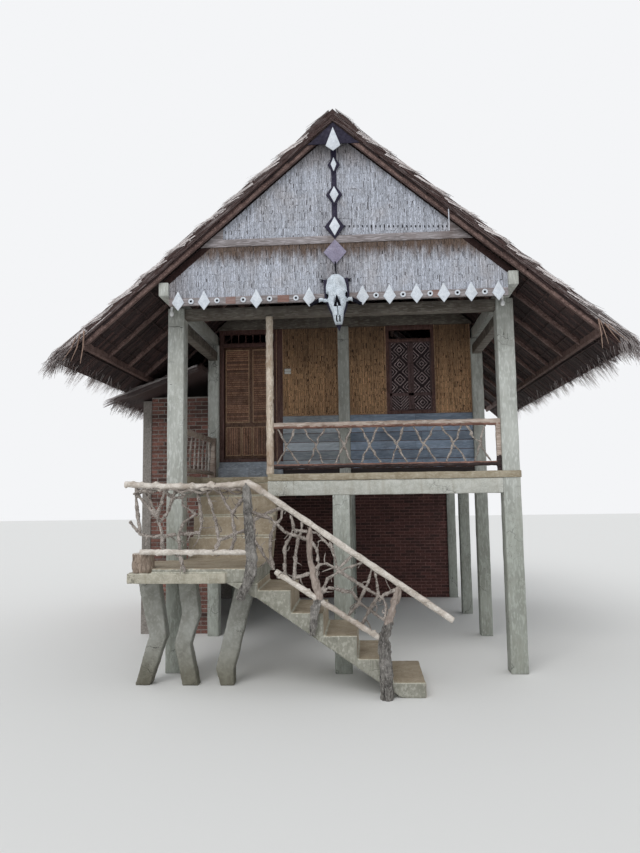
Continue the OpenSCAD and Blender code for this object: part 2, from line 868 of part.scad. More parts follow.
module door_hinges() {
    color("#5c4a3f")
        for (low = hinge_places)
            translate([hinge_x, 0, 0]) {
                hinge_side(-1, low, low, knuckle_h);
                hinge_side(-1, low, low + hinge_h - knuckle_h, knuckle_h);
                translate([0, hinge_y, low])
                    cylinder(h = hinge_h, d = hinge_pin_d);
            }
}

module door_leaf() {
    color("#8a5a3f")
        difference() {
            union() {
                block([leaf_left, frame_back - leaf_t, leaf_z],
                    [leaf_left + leaf_w, frame_back, leaf_z + leaf_h]);
                for (low = hinge_places)
                    translate([hinge_x, 0, 0])
                        hinge_side(1, low, low + knuckle_h + knuckle_clear, knuckle_h);
            }
            for (low = hinge_places)
                translate([hinge_x, hinge_y, low])
                    cylinder(h = hinge_h, d = hinge_pin_d + 2 * pin_clear);
        }
}

// The boards run down past the edge of the room floor
module front_dado() {
    color("#7d8b94")
        for (side = [0, 1]) {
            left = side ? rear_face : door_right;
            right = side ? bay_x - rear_face : -rear_face;
            block([left, wall_front, room_z], [right, wall_front + wall_t, dado_z]);
            block([left, wall_front - board_t, floor_z], [right, wall_front, dado_z]);
        }
}

module reed_panel(left, right) {
    block([left, wall_front, dado_z], [right, wall_front + wall_t, wall_top]);
}

module front_reed_wall() {
    color("#a5763f") {
        reed_panel(door_right, -rear_face);
        reed_panel(rear_face, window_left);
        reed_panel(window_right, bay_x - rear_face);
    }
}

window_out = 10;
window_low = dado_z + window_frame_w;
window_high = wall_top - window_head_h - window_light_h - window_frame_w;

module window_frame() {
    left = window_left + window_frame_w;
    right = window_right - window_frame_w;
    back = wall_front + wall_t;
    color("#553427")
        difference() {
            block([window_left, wall_front - window_out, dado_z],
                [window_right, back, wall_top]);
            block([left, wall_front - window_out - 1, window_low],
                [right, back + 1, window_high]);
            block([left, wall_front - window_out - 1, window_high + window_frame_w],
                [right, back + 1, wall_top - window_head_h]);
        }
}

module window_leaves() {
    mid = (window_left + window_right) / 2;
    half = window_w / 2 - window_frame_w;
    color("#6b5450")
        for (x = [mid - half, mid + window_leaf_gap / 2])
            block([x, wall_front + window_out, window_low],
                [x + half - window_leaf_gap / 2, wall_front + window_out + window_leaf_t,
                    window_high]);
}

// Side and back walls of the room

module side_wall(side) {
    x = side * bay_x;
    for (bay = [0, 1])
        block([x - wall_t / 2, row2_y + rear_face + bay * room_bay, room_z],
            [x + wall_t / 2, row3_y - rear_face + bay * room_bay, eave_beam_z]);
}

module left_wall() {
    color("#a5763f")
        side_wall(-1);
}

module right_wall() {
    color("#a5763f")
        side_wall(1);
}

module back_wall() {
    color("#a5763f")
        for (side = [0, 1])
            block([side ? rear_face : -bay_x + rear_face, row4_y - wall_t / 2, room_z],
                [side ? bay_x - rear_face : -rear_face, row4_y + wall_t / 2, wall_top]);
}

// Roof

// The section of one roof layer between two depths under the thatch
module roof_layer(depth_top, depth_under, near, far, y0, y1) {
    translate([0, y1, 0])
        rotate([90, 0, 0])
            linear_extrude(y1 - y0)
                polygon([[near, roof_z(near, depth_top)], [far, roof_z(far, depth_top)],
                    [far, roof_z(far, depth_under)], [near, roof_z(near, depth_under)]]);
}

// Each course of thatch swells towards its foot
module thatch_side(side) {
    pitch = (eave_x - cap_reach) / course_count;
    courses = [for (i = [0:course_count - 1])
        each [[cap_reach + i * pitch, 0], [cap_reach + (i + 1) * pitch, -course_rise]]];
    mirror([side < 0 ? 1 : 0, 0, 0])
        translate([0, back_verge_y, 0])
            rotate([90, 0, 0])
                linear_extrude(back_verge_y - verge_y)
                    polygon([for (p = concat([[0, 0]], courses, [[eave_x, thatch_t], [0, thatch_t]]))
                        [p[0], roof_z(p[0], p[1])]]);
}

module left_thatch() {
    color("#8a7a66")
        thatch_side(-1);
}

module right_thatch() {
    color("#8a7a66")
        thatch_side(1);
}

module ridge_cap() {
    low = roof_z(cap_reach, -slip);
    color("#7c6d5a")
        translate([0, back_verge_y, 0])
            rotate([90, 0, 0])
                linear_extrude(back_verge_y - verge_y)
                    polygon([[0, roof_z(0, -slip)], [cap_reach, low],
                        [cap_reach, low + cap_t / 2], [0, ridge_z + cap_t],
                        [-cap_reach, low + cap_t / 2], [-cap_reach, low]]);
}

// A row of rafters on one side, each notched over the eave beam
module rafter_row() {
    first = verge_y + verge_margin;
    last = back_verge_y - verge_margin - rafter_w;
    difference() {
        for (i = [0:rafter_count - 1])
            roof_layer(rafter_top, rafter_under, slip, rafter_x,
                first + i * (last - first) / (rafter_count - 1),
                first + i * (last - first) / (rafter_count - 1) + rafter_w);
        block([bay_x - eave_beam_w / 2, eave_beam_end, eave_beam_z],
            [bay_x + eave_beam_w / 2, eave_beam_back, eave_beam_top]);
    }
}

module left_rafters() {
    color("#6f4a3f")
        mirror([1, 0, 0])
            rafter_row();
}

module right_rafters() {
    color("#6f4a3f")
        rafter_row();
}

module purlins() {
    color("#7d5546")
        for (side = [0, 1])
            mirror([side, 0, 0]) {
                roof_layer(rafter_top, rafter_under + 20, rafter_x,
                    rafter_x + purlin_w / 2, verge_y + 25, back_verge_y - 25);
                for (x = [bay_x * 0.45, bay_x * 0.75])
                    roof_layer(rafter_under + slip, rafter_under + purlin_w, x, x + purlin_w,
                        gable_y + mat_t, back_gable_y - mat_t);
            }
}

// The closed outline of a gable between two heights, under the rafters
module gable_outline(low, high) {
    reach = (roof_space_z - low) / pitch_tan;
    apex = (roof_space_z - high) / pitch_tan;
    polygon([[-reach, low], [reach, low], [apex, high], [-apex, high]]);
}

module gable_mats(y) {
    beam_in = bay_x - eave_beam_w / 2;
    translate([0, y, 0])
        rotate([90, 0, 0])
            linear_extrude(mat_t) {
                gable_outline(board_z + board_h, roof_space_z - 1);
                difference() {
                    gable_outline(strip_z + strip_h, board_z);
                    for (side = [0, 1])
                        mirror([side, 0])
                            translate([beam_in, strip_z])
                                square([eave_reach, eave_beam_top - strip_z]);
                }
            }
}

module front_gable_mats() {
    color("#a9abad")
        gable_mats(gable_y + mat_t);
}

module back_gable_mats() {
    color("#a9abad")
        gable_mats(back_gable_y);
}

module gable_trim() {
    reach = bay_x - eave_beam_w / 2;
    color("#8f857b")
        for (back = [0, 1]) {
            y = back ? back_gable_y - mat_t : gable_y - trim_out;
            translate([0, y + mat_t + trim_out, 0])
                rotate([90, 0, 0])
                    linear_extrude(mat_t + trim_out) {
                        gable_outline(board_z, board_z + board_h);
                        translate([-reach, strip_z])
                            square([2 * reach, strip_h]);
                    }
        }
}

// Ornament

// The places of the missing kites, counted from the left. The last is the skull's.
missing_kites = [2, 4, 6];

module kite(w, h, waist = 0.4) {
    polygon([[0, 0], [w / 2, h * waist], [0, h], [-w / 2, h * waist]]);
}

// What lies on the front of the gable, drawn on the XZ plane and grown forwards
module on_gable(lift, depth) {
    translate([0, gable_y - trim_out - lift, 0])
        rotate([90, 0, 0])
            linear_extrude(depth)
                children();
}

// Thickness of a painted board
paint_t = 14;
// The diamonds of the spine, from the top: the place of the middle as a share of the
// height of the upper mat, and the sizes of the dark and the white one over its height
mat_h = roof_space_z - board_z - board_h;
spine = [[0.672, 0.103, 0.174, 0.052, 0.135], [0.383, 0.132, 0.213, 0.083, 0.156],
    [0.08, 0.163, 0.234, 0.098, 0.179]];
function spine_z(d, high) = board_z + board_h + mat_h * (d[0] - high / 2);
spine_strip_w = 60;
apex_out = verge_out - verge_margin - trim_out;
apex_z = ridge_z - apex_drop;
apex_x = (apex_drop - rafter_top / pitch_cos) / pitch_tan;
mauve_kite = [0.185, 0.227];

module kite_row() {
    mid = (kite_places - 1) / 2;
    color("#e8eae8") {
        on_gable(0, paint_t) {
            for (i = [0:kite_places - 1])
                if (len([for (m = missing_kites) if (m == i) m]) == 0)
                    translate([(i - mid) * kite_pitch, strip_z - kite_drop])
                        kite(kite_w, kite_h);
            // No ring lies beside the skull
            for (i = [0:kite_places - 2])
                if (abs(i + 0.5 - mid) > 1)
                translate([(i + 0.5 - mid) * kite_pitch, strip_z + strip_h / 2])
                    difference() {
                        circle(d = ring_d);
                        circle(d = ring_d * 0.45);
                    }
        }
        on_gable(apex_out + paint_t, paint_t)
            translate([0, apex_z - apex_kite_h * 0.31])
                kite(apex_kite_w, apex_kite_h, 0.22);
        for (d = spine)
            on_gable(paint_t, paint_t)
                translate([0, spine_z(d, d[4])])
                    kite(mat_h * d[3], mat_h * d[4], 0.5);
    }
}

module spine_ornament() {
    color("#3c2f3e") {
        on_gable(-trim_out, trim_out)
            translate([-spine_strip_w / 2, board_z + board_h])
                square([spine_strip_w, apex_z - board_z - board_h]);
        // A dark board covers the heads of the front rafters
        on_gable(apex_out, paint_t)
            polygon([[0, roof_z(0, rafter_top)], [apex_x, apex_z], [-apex_x, apex_z]]);
        on_gable(0, paint_t) {
            for (d = spine)
                translate([0, spine_z(d, d[2])])
                    kite(mat_h * d[1], mat_h * d[2], 0.5);
            // The mauve diamond hangs over the cross board
            translate([0, board_z - mat_h * mauve_kite[1] * 0.9])
                kite(mat_h * mauve_kite[0], mat_h * mauve_kite[1], 0.5);
        }
    }
}

// Half the outline of the skull, as shares of its height, from the poll to the nose
skull_side = [[0.07, 0], [0.165, 0.09], [0.2, 0.24], [0.207, 0.38], [0.165, 0.6],
    [0.11, 0.76], [0.09, 0.92], [0.065, 1]];

// The skull lies on a dark board, which rests on the strip
module cattle_skull() {
    poll = strip_z + skull_h / 2;
    board = [[0.247, 0.06], [0.247, 0.46], [0.1, 0.9], [0, 1.135]];
    color("#d8d4c8") {
        for (part = [[0, paint_t, board], [paint_t, skull_d, skull_side]])
            on_gable(part[0], part[1])
                translate([0, poll])
                    rotate(skull_tilt)
                        polygon(concat([for (p = part[2]) [p[0], -p[1]] * skull_h],
                            [for (i = [len(part[2]) - 1:-1:0])
                                [-part[2][i][0], -part[2][i][1]] * skull_h]));
        // Each horn core ends in a stub of black horn that hangs a little
        for (side = [-1, 1])
            translate([side * skull_h * 0.16, gable_y - trim_out - paint_t - skull_d / 2,
                poll - skull_h * 0.51]) {
                rotate([0, side * 90, 0])
                    cylinder(h = horn_l, d = horn_d);
                translate([side * (horn_l - horn_d / 4), 0, 0])
                    rotate([0, side * 120, 0])
                        cylinder(h = horn_tip_l, d1 = horn_d * 1.15, d2 = horn_d * 0.9);
            }
    }
}

module lamp_bulbs() {
    color("#eef0ee")
        for (side = [-1, 1])
            translate([side * bay_x - bulb_off, -post_face - bulb_w * 1.2,
                eave_beam_z - bulb_h]) {
                cylinder(h = bulb_h * 0.6, d = bulb_w);
                cylinder(h = bulb_h, d = bulb_w * 0.55);
            }
}

// Annex and the wall under the room

annex_right = -bay_x - rear_face;
annex_front = row2_y + annex_back_off;
annex_back = row4_y;
lean_slope = tan(lean_pitch);
// Top of the annex thatch, which passes under the tips of the main thatch
function lean_z(x) = roof_z(eave_x, thatch_t) - lean_gap + (x + eave_x) * lean_slope;
function lean_under(x) = lean_z(x) - lean_t / cos(lean_pitch);
// Top of an annex wall under that roof
function annex_top(x) = min(annex_wall_z, lean_under(x) - slip);

// A wall across the annex: level, but lower where the roof comes down
module annex_cross_wall(left, near) {
    meet = -eave_x + (annex_wall_z + slip - lean_under(-eave_x)) / lean_slope;
    translate([0, near + brick_t, 0])
        rotate([90, 0, 0])
            linear_extrude(brick_t)
                polygon([[left, 0], [annex_right, 0], [annex_right, annex_wall_z],
                    [max(meet, left), annex_wall_z], [left, annex_top(left)]]);
}

module annex_walls() {
    outer = annex_left + 20;
    color("#8c5a4d") {
        post(annex_left + annex_post_w / 2, annex_front + annex_post_w / 2,
            annex_post_w, annex_top(annex_left));
        annex_cross_wall(annex_left + annex_post_w, annex_front + 20);
        block([outer, annex_front + annex_post_w, 0],
            [outer + brick_t, annex_back, annex_top(outer)]);
        annex_cross_wall(outer + brick_t, annex_back - brick_t);
    }
}

module annex_roof() {
    left = annex_left - lean_reach;
    back = annex_back + lean_verge / 2;
    color("#84735f")
        translate([0, back, 0])
            rotate([90, 0, 0])
                linear_extrude(back - annex_front + lean_verge)
                    polygon([[left, lean_z(left)], [annex_right, lean_z(annex_right)],
                        [annex_right, lean_under(annex_right)], [left, lean_under(left)]]);
}

module under_wall() {
    inner = bay_x - rear_face;
    color("#7a4238")
        for (side = [0, 1])
            block([side ? rear_face : -inner, row4_y - brick_t / 2, 0],
                [side ? inner : -rear_face, row4_y + brick_t / 2, beam_z]);
}

front_left_post();
front_middle_post();
front_right_post();
second_row_posts();
rear_posts();
floor_beams();
veranda_floor();
room_floor();
front_tie_beam();
side_tie_beams();
row_beams();
eave_beams();
lower_flight();
landing_slab();
upper_flight();
landing_legs();
corner_stump();
stair_top_pole();
stair_low_rails();
stair_trunks();
landing_branches();
flight_branches();
veranda_pole();
front_rail_logs();
side_rail_logs();
front_rail_branches();
side_rail_branches();
door_frame();
door_hinges();
door_leaf();
front_dado();
front_reed_wall();
window_frame();
window_leaves();
left_wall();
right_wall();
back_wall();
left_thatch();
right_thatch();
ridge_cap();
left_rafters();
right_rafters();
purlins();
front_gable_mats();
back_gable_mats();
gable_trim();
kite_row();
spine_ornament();
cattle_skull();
lamp_bulbs();
annex_walls();
annex_roof();
under_wall();
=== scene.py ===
import math
import random
import bpy
import bmesh
from mathutils import Matrix, Vector, noise


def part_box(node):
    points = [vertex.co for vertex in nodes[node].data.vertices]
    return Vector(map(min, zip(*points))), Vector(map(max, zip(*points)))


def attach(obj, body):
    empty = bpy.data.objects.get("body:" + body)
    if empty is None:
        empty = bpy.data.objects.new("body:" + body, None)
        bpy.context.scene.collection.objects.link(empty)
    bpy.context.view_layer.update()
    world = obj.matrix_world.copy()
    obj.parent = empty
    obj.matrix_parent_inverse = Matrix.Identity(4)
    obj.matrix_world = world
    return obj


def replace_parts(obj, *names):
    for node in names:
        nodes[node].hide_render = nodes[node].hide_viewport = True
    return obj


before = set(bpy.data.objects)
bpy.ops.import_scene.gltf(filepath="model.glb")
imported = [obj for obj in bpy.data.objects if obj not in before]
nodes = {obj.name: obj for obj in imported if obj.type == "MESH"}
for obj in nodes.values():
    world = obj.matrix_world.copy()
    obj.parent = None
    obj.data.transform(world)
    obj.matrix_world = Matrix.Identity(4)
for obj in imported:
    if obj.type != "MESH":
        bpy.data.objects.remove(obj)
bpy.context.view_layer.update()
print("stage: frame")


def rgb(r, g, b):
    return tuple(((c / 255 + 0.055) / 1.055) ** 2.4 for c in (r, g, b)) + (1.0,)


# Shader building

def put(tree, kind, inputs=None, **settings):
    made = tree.nodes.new(kind)
    for key, value in settings.items():
        setattr(made, key, value)
    for key, value in (inputs or {}).items():
        if isinstance(value, bpy.types.NodeSocket):
            tree.links.new(value, made.inputs[key])
        else:
            made.inputs[key].default_value = value
    return made


def mixColor(tree, factor, a, b, blend="MIX"):
    made = put(tree, "ShaderNodeMix", {0: factor, 6: a, 7: b}, data_type="RGBA", blend_type=blend)
    return made.outputs[2]


def calc(tree, kind, a, b=0.0):
    return put(tree, "ShaderNodeMath", {0: a, 1: b}, operation=kind).outputs[0]


def multiply(tree, a, b):
    return calc(tree, "MULTIPLY", a, b)


def band(tree, value, low, high, outLow=0.0, outHigh=1.0):
    inputs = {0: value, 1: low, 2: high, 3: outLow, 4: outHigh}
    return put(tree, "ShaderNodeMapRange", inputs, interpolation_type="SMOOTHSTEP").outputs[0]


def newGroup(name, inputs, outputs):
    tree = bpy.data.node_groups.new(name, "ShaderNodeTree")
    for label, kind, value in inputs:
        socket = tree.interface.new_socket(label, in_out="INPUT", socket_type="NodeSocket" + kind)
        socket.default_value = value
    for label, kind in outputs:
        tree.interface.new_socket(label, in_out="OUTPUT", socket_type="NodeSocket" + kind)
    return tree, tree.nodes.new("NodeGroupInput").outputs, tree.nodes.new("NodeGroupOutput")


def spaceOf(tree, stretch):
    inputs = {0: put(tree, "ShaderNodeTexCoord").outputs["Object"], 1: stretch}
    return put(tree, "ShaderNodeVectorMath", inputs, operation="MULTIPLY").outputs[0]


def partsOf(tree):
    place = put(tree, "ShaderNodeTexCoord").outputs["Object"]
    return put(tree, "ShaderNodeSeparateXYZ", {0: place}).outputs


def grainGroup():
    # Two sizes of grain, stretched along the piece
    tree, given, out = newGroup(
        "grain", [("Scale", "Float", 20.0), ("Stretch", "Vector", (1, 1, 1))],
        [("Coarse", "Float"), ("Fine", "Float")])
    place = spaceOf(tree, given["Stretch"])
    coarse = put(tree, "ShaderNodeTexNoise", {
        "Vector": place, "Scale": given["Scale"], "Detail": 5.0, "Roughness": 0.6,
        "Distortion": 0.3})
    fine = put(tree, "ShaderNodeTexNoise", {
        "Vector": place, "Scale": multiply(tree, given["Scale"], 6.0), "Detail": 3.0})
    tree.links.new(band(tree, coarse.outputs[0], 0.3, 0.7), out.inputs["Coarse"])
    tree.links.new(band(tree, fine.outputs[0], 0.3, 0.7), out.inputs["Fine"])
    return tree


def stainGroup():
    # Broad stains, and streaks that run down
    tree, given, out = newGroup(
        "stains", [("Scale", "Float", 1.5)], [("Stain", "Float"), ("Streak", "Float")])
    broad = put(tree, "ShaderNodeTexNoise", {
        "Vector": spaceOf(tree, (1, 1, 1)), "Scale": given["Scale"], "Detail": 6.0,
        "Roughness": 0.65, "Distortion": 0.6})
    down = put(tree, "ShaderNodeTexNoise", {
        "Vector": spaceOf(tree, (14, 14, 0.7)), "Scale": given["Scale"], "Detail": 4.0,
        "Roughness": 0.7})
    tree.links.new(band(tree, broad.outputs[0], 0.46, 0.68), out.inputs["Stain"])
    tree.links.new(band(tree, down.outputs[0], 0.5, 0.72), out.inputs["Streak"])
    return tree


def crackGroup():
    # Thin broken lines and small pits
    tree, given, out = newGroup(
        "cracks", [("Scale", "Float", 3.0), ("Width", "Float", 0.012)],
        [("Crack", "Float"), ("Pit", "Float")])
    place = spaceOf(tree, (1, 1, 1))
    bend = put(tree, "ShaderNodeTexNoise", {"Vector": place, "Scale": 5.0, "Detail": 4.0})
    moved = put(tree, "ShaderNodeVectorMath", {
        0: place, 1: put(tree, "ShaderNodeVectorMath", {
            0: bend.outputs[1], 3: 0.35}, operation="SCALE").outputs[0]}, operation="ADD")
    cells = put(tree, "ShaderNodeTexVoronoi", {
        "Vector": moved.outputs[0], "Scale": given["Scale"]}, feature="DISTANCE_TO_EDGE")
    line = put(tree, "ShaderNodeMapRange", {
        0: cells.outputs[0], 1: 0.0, 2: given["Width"], 3: 1.0, 4: 0.0})
    some = put(tree, "ShaderNodeTexNoise", {"Vector": place, "Scale": 1.7, "Detail": 2.0})
    dots = put(tree, "ShaderNodeTexVoronoi", {"Vector": place, "Scale": 45.0})
    pit = band(tree, dots.outputs[0], 0.10, 0.22, 1.0, 0.0)
    tree.links.new(multiply(tree, line.outputs[0], band(tree, some.outputs[0], 0.5, 0.6)),
                   out.inputs["Crack"])
    tree.links.new(multiply(tree, pit, band(tree, some.outputs[0], 0.45, 0.65)),
                   out.inputs["Pit"])
    return tree


def toneGroup():
    # Each reed, strand, brick or board has its own tone
    tree, given, out = newGroup(
        "tone", [("Color", "Color", (1, 1, 1, 1)), ("Amount", "Float", 0.5),
                 ("Worn", "Color", (1, 1, 1, 1))], [("Color", "Color")])
    tone = put(tree, "ShaderNodeAttribute", attribute_name="tone").outputs["Fac"]
    # The worn attribute marks wear, and on the reed walls also painted shade under the beam
    worn = put(tree, "ShaderNodeAttribute", attribute_name="worn").outputs["Fac"]
    shift = multiply(tree, calc(tree, "SUBTRACT", tone, 0.5), given["Amount"])
    bright = calc(tree, "ADD", multiply(tree, shift, 2.0), 1.0)
    lit = put(tree, "ShaderNodeVectorMath", {0: given["Color"], 3: bright}, operation="SCALE")
    tree.links.new(mixColor(tree, worn, lit.outputs[0], given["Worn"]), out.inputs["Color"])
    return tree


def shadeGroup():
    # Greyer and darker towards the ground
    tree, given, out = newGroup(
        "shade", [("Color", "Color", (1, 1, 1, 1)), ("Low", "Float", 0.0), ("High", "Float", 1.0),
                  ("Shade", "Color", (1, 1, 1, 1))], [("Color", "Color")])
    mask = band(tree, partsOf(tree)[2], given["Low"], given["High"], 1.0, 0.0)
    tree.links.new(mixColor(tree, mask, given["Color"], given["Shade"], "MULTIPLY"),
                   out.inputs["Color"])
    return tree


groups = {"grain": grainGroup(), "stains": stainGroup(), "cracks": crackGroup(),
          "tone": toneGroup(), "shade": shadeGroup()}


def placed(tree, name, inputs):
    return put(tree, "ShaderNodeGroup", inputs, node_tree=groups[name]).outputs


finishes = {}


def finish(name, dark, mid, pale, scale, stretch, stain, stainColor=None, streak=0.0, crack=0.0,
           pit=0.0, crackScale=3.0, rough=(0.7, 0.95), bump=0.3, depth=0.004, tone=0.0,
           worn=(0, 0, 0), sheen=0.5, fine=0.75):
    # Three colours mixed by the grain, then stains, streaks, cracks, pits and each piece's tone
    material = bpy.data.materials.new(name)
    material.use_nodes = True
    tree = material.node_tree
    shader = tree.nodes["Principled BSDF"]
    grain = placed(tree, "grain", {"Scale": scale, "Stretch": stretch})
    color = mixColor(tree, grain["Coarse"], rgb(*dark), rgb(*mid))
    color = mixColor(tree, band(tree, grain["Fine"], 0.45, 0.95, 0.0, fine), color, rgb(*pale))
    stains = placed(tree, "stains", {"Scale": 1.5})
    dirt = rgb(*(stainColor or dark))
    color = mixColor(tree, multiply(tree, stains["Stain"], stain), color, dirt)
    height = calc(tree, "ADD", multiply(tree, grain["Coarse"], 0.7),
                  multiply(tree, grain["Fine"], 0.3))
    if streak:
        color = mixColor(tree, multiply(tree, stains["Streak"], streak), color, dirt)
    if crack or pit:
        marks = placed(tree, "cracks", {"Scale": crackScale, "Width": 0.012})
        black = rgb(40, 38, 36)
        color = mixColor(tree, multiply(tree, marks["Crack"], crack), color, black)
        color = mixColor(tree, multiply(tree, marks["Pit"], pit), color, black)
        height = calc(tree, "SUBTRACT", height, multiply(tree, marks["Crack"], 1.5))
        height = calc(tree, "SUBTRACT", height, marks["Pit"])
    if tone:
        color = placed(tree, "tone", {"Color": color, "Amount": tone, "Worn": rgb(*worn)})["Color"]
    tree.links.new(color, shader.inputs["Base Color"])
    tree.links.new(band(tree, grain["Coarse"], 0.0, 1.0, rough[1], rough[0]),
                   shader.inputs["Roughness"])
    shader.inputs["Specular IOR Level"].default_value = sheen
    lift = put(tree, "ShaderNodeBump", {"Strength": bump, "Distance": depth, "Height": height})
    tree.links.new(lift.outputs[0], shader.inputs["Normal"])
    finishes[name] = material


finish("concrete", (160, 162, 156), (184, 187, 181), (198, 201, 196), 6, (1, 1, 0.3), 0.25,
       (140, 138, 126), streak=0.3, crack=0.7, pit=0.8, crackScale=1.6)
finish("stairSide", (132, 131, 120), (150, 149, 138), (170, 169, 158), 5, (1, 1, 0.7), 0.5,
       (98, 96, 83), streak=0.3, crack=0.7, pit=0.8, crackScale=2.4, depth=0.006)
finish("stairEdge", (160, 158, 142), (190, 188, 172), (206, 204, 190), 8, (1, 1, 1), 0.4,
       (126, 122, 106), pit=0.7, depth=0.006)
finish("stairTread", (148, 135, 115), (168, 155, 135), (184, 173, 155), 5, (1, 1, 1), 0.45,
       (118, 105, 86), crack=0.4, pit=0.5, crackScale=2.4, depth=0.005, fine=0.4)
finish("stairLeg", (126, 126, 119), (151, 152, 146), (170, 171, 165), 5, (1, 1, 0.8), 0.35,
       (98, 96, 86), streak=0.15, crack=1.0, pit=0.8, crackScale=2.8, depth=0.006, fine=0.3)
finish("slabFace", (140, 129, 108), (166, 156, 136), (186, 179, 162), 8, (0.4, 1, 1), 0.45,
       (122, 110, 90), streak=0.4, pit=0.5, depth=0.006, fine=0.45)
finish("beamConcrete", (170, 171, 163), (189, 190, 183), (204, 206, 200), 11, (1, 1, 1), 0.35,
       (148, 142, 126), streak=0.4, crack=0.6, pit=0.9, crackScale=2.0, depth=0.005, fine=0.45)
finish("lipConcrete", (154, 150, 135), (178, 173, 157), (194, 190, 176), 7, (1, 1, 1), 0.45,
       (120, 112, 92), streak=0.3, crack=0.6, pit=0.9, depth=0.007, fine=0.4)
finish("crossBoard", (108, 101, 100), (142, 136, 137), (176, 170, 173), 16, (0.08, 1, 1), 0.5,
       (92, 74, 66), crack=0.4, bump=0.5)
finish("stripBoard", (112, 106, 106), (144, 139, 141), (178, 175, 178), 16, (0.1, 1, 1), 0.5,
       (104, 84, 76), crack=0.4, bump=0.5, tone=0.3, worn=(128, 92, 80))
finish("rafterTimber", (76, 58, 54), (106, 84, 78), (134, 110, 103), 22, (0.4, 1, 0.4), 0.45,
       (58, 42, 40), bump=0.5)
finish("wallBeam", (86, 80, 72), (110, 104, 96), (130, 124, 116), 9, (0.2, 1, 1), 0.5,
       (66, 58, 52), streak=0.3)
finish("thatchDark", (50, 34, 33), (70, 49, 46), (90, 68, 63), 60, (1, 1, 1), 0.5,
       (38, 27, 27), bump=0.9, depth=0.01)
finish("thatch", (84, 74, 72), (118, 107, 104), (156, 147, 145), 60, (1, 1, 1), 0.4,
       (66, 56, 54), tone=0.8, worn=(72, 50, 46), bump=0.5)
# Brown leaves under the roof, darkened further as painted shade
finish("shadedUnderLeaf", (48, 33, 32), (66, 46, 43), (84, 62, 58), 50, (1, 1, 1), 0.5,
       (36, 26, 26), tone=0.6, worn=(43, 30, 30), bump=0.6)
finish("strand", (150, 142, 140), (188, 182, 181), (220, 215, 215), 50, (1, 1, 1), 0.3,
       (124, 112, 106), tone=0.7, worn=(66, 46, 43), bump=0.4)
finish("stalk", (112, 88, 76), (146, 121, 107), (178, 156, 142), 40, (1, 1, 0.3), 0.4, bump=0.5)
finish("matReed", (130, 133, 142), (203, 208, 219), (229, 234, 244), 45, (2.5, 2.5, 0.8), 0.25,
       (172, 158, 146), tone=0.4, worn=(70, 66, 70), bump=0.5)
finish("matGround", (60, 56, 60), (92, 88, 92), (120, 116, 118), 40, (3, 3, 0.3), 0.4, bump=0.5)
# The worn colours of the reed walls also serve as their painted shade under the beam and the eaves
finish("wallReed", (160, 121, 88), (202, 163, 124), (226, 193, 154), 45, (2.5, 2.5, 0.35), 0.3,
       (120, 86, 62), tone=0.6, worn=(46, 32, 27), bump=0.5)
finish("outerReed", (122, 101, 80), (160, 138, 112), (186, 166, 140), 45, (2.5, 2.5, 0.35), 0.4,
       (98, 82, 68), streak=0.3, tone=0.6, worn=(70, 54, 46), bump=0.6)
finish("wallGround", (52, 40, 34), (78, 60, 48), (100, 80, 62), 40, (3, 3, 0.3), 0.4, bump=0.5)
finish("dadoBlue", (126, 142, 162), (154, 171, 193), (180, 196, 217), 14, (0.12, 1, 1), 0.45,
       (96, 100, 106), tone=0.6, worn=(50, 43, 43), bump=0.4, fine=0.5)
finish("dadoBoard", (148, 156, 164), (181, 191, 200), (202, 211, 219), 14, (0.12, 1, 1), 0.45,
       (112, 112, 112), tone=0.6, worn=(50, 43, 43), bump=0.4, fine=0.5)
finish("stepPaint", (140, 148, 158), (168, 177, 188), (188, 196, 206), 9, (0.3, 1, 1), 0.5,
       (112, 112, 112), streak=0.3, pit=0.4)
finish("doorWood", (110, 78, 61), (151, 111, 89), (178, 138, 111), 26, (0.5, 0.5, 0.2), 0.4,
       (80, 54, 43), tone=0.55, worn=(64, 43, 34), bump=0.4, rough=(0.5, 0.75))
finish("doorBead", (146, 112, 86), (182, 148, 118), (206, 174, 144), 30, (0.6, 0.6, 0.3), 0.3,
       (110, 80, 62), tone=0.3, bump=0.4, rough=(0.5, 0.75))
finish("frameWood", (66, 42, 38), (94, 64, 58), (116, 84, 76), 22, (1, 1, 0.12), 0.4,
       (48, 32, 30), bump=0.4, rough=(0.5, 0.8))
finish("windowWood", (74, 56, 56), (98, 78, 78), (122, 100, 100), 26, (1, 1, 0.3), 0.35,
       (54, 40, 40), tone=0.4, worn=(60, 44, 42), bump=0.4)
finish("windowPanel", (34, 26, 28), (50, 39, 42), (66, 53, 56), 30, (1, 1, 0.4), 0.4, bump=0.4,
       sheen=0.3)
finish("lattice", (134, 116, 117), (164, 147, 148), (186, 171, 170), 40, (1, 1, 1), 0.35,
       (104, 88, 88), tone=0.4, worn=(90, 76, 76), bump=0.4)
finish("branch", (92, 83, 77), (160, 151, 143), (216, 209, 201), 15, (1, 1, 1), 0.6,
       (84, 74, 66), crack=0.4, crackScale=14, bump=0.8, depth=0.006, fine=0.45)
finish("paleWood", (172, 163, 152), (216, 209, 200), (237, 232, 225), 9, (0.6, 1, 1), 0.55,
       (146, 128, 112), crack=0.6, crackScale=7, bump=0.5, depth=0.006, fine=0.4)
finish("bark", (52, 48, 45), (118, 114, 109), (204, 200, 194), 22, (1, 1, 0.2), 0.4,
       (196, 192, 186), crack=0.7, crackScale=10, bump=1.0, depth=0.014, fine=0.35)
finish("trunkSkin", (124, 112, 104), (156, 143, 134), (184, 172, 163), 12, (1, 1, 0.25), 0.5,
       (92, 80, 73), crack=0.6, crackScale=8, bump=0.7, depth=0.008, fine=0.4)
finish("stumpBark", (118, 103, 90), (156, 139, 124), (190, 175, 160), 18, (1, 1, 0.15), 0.5,
       (88, 74, 64), crack=0.8, crackScale=9, bump=1.0, depth=0.01, fine=0.5)
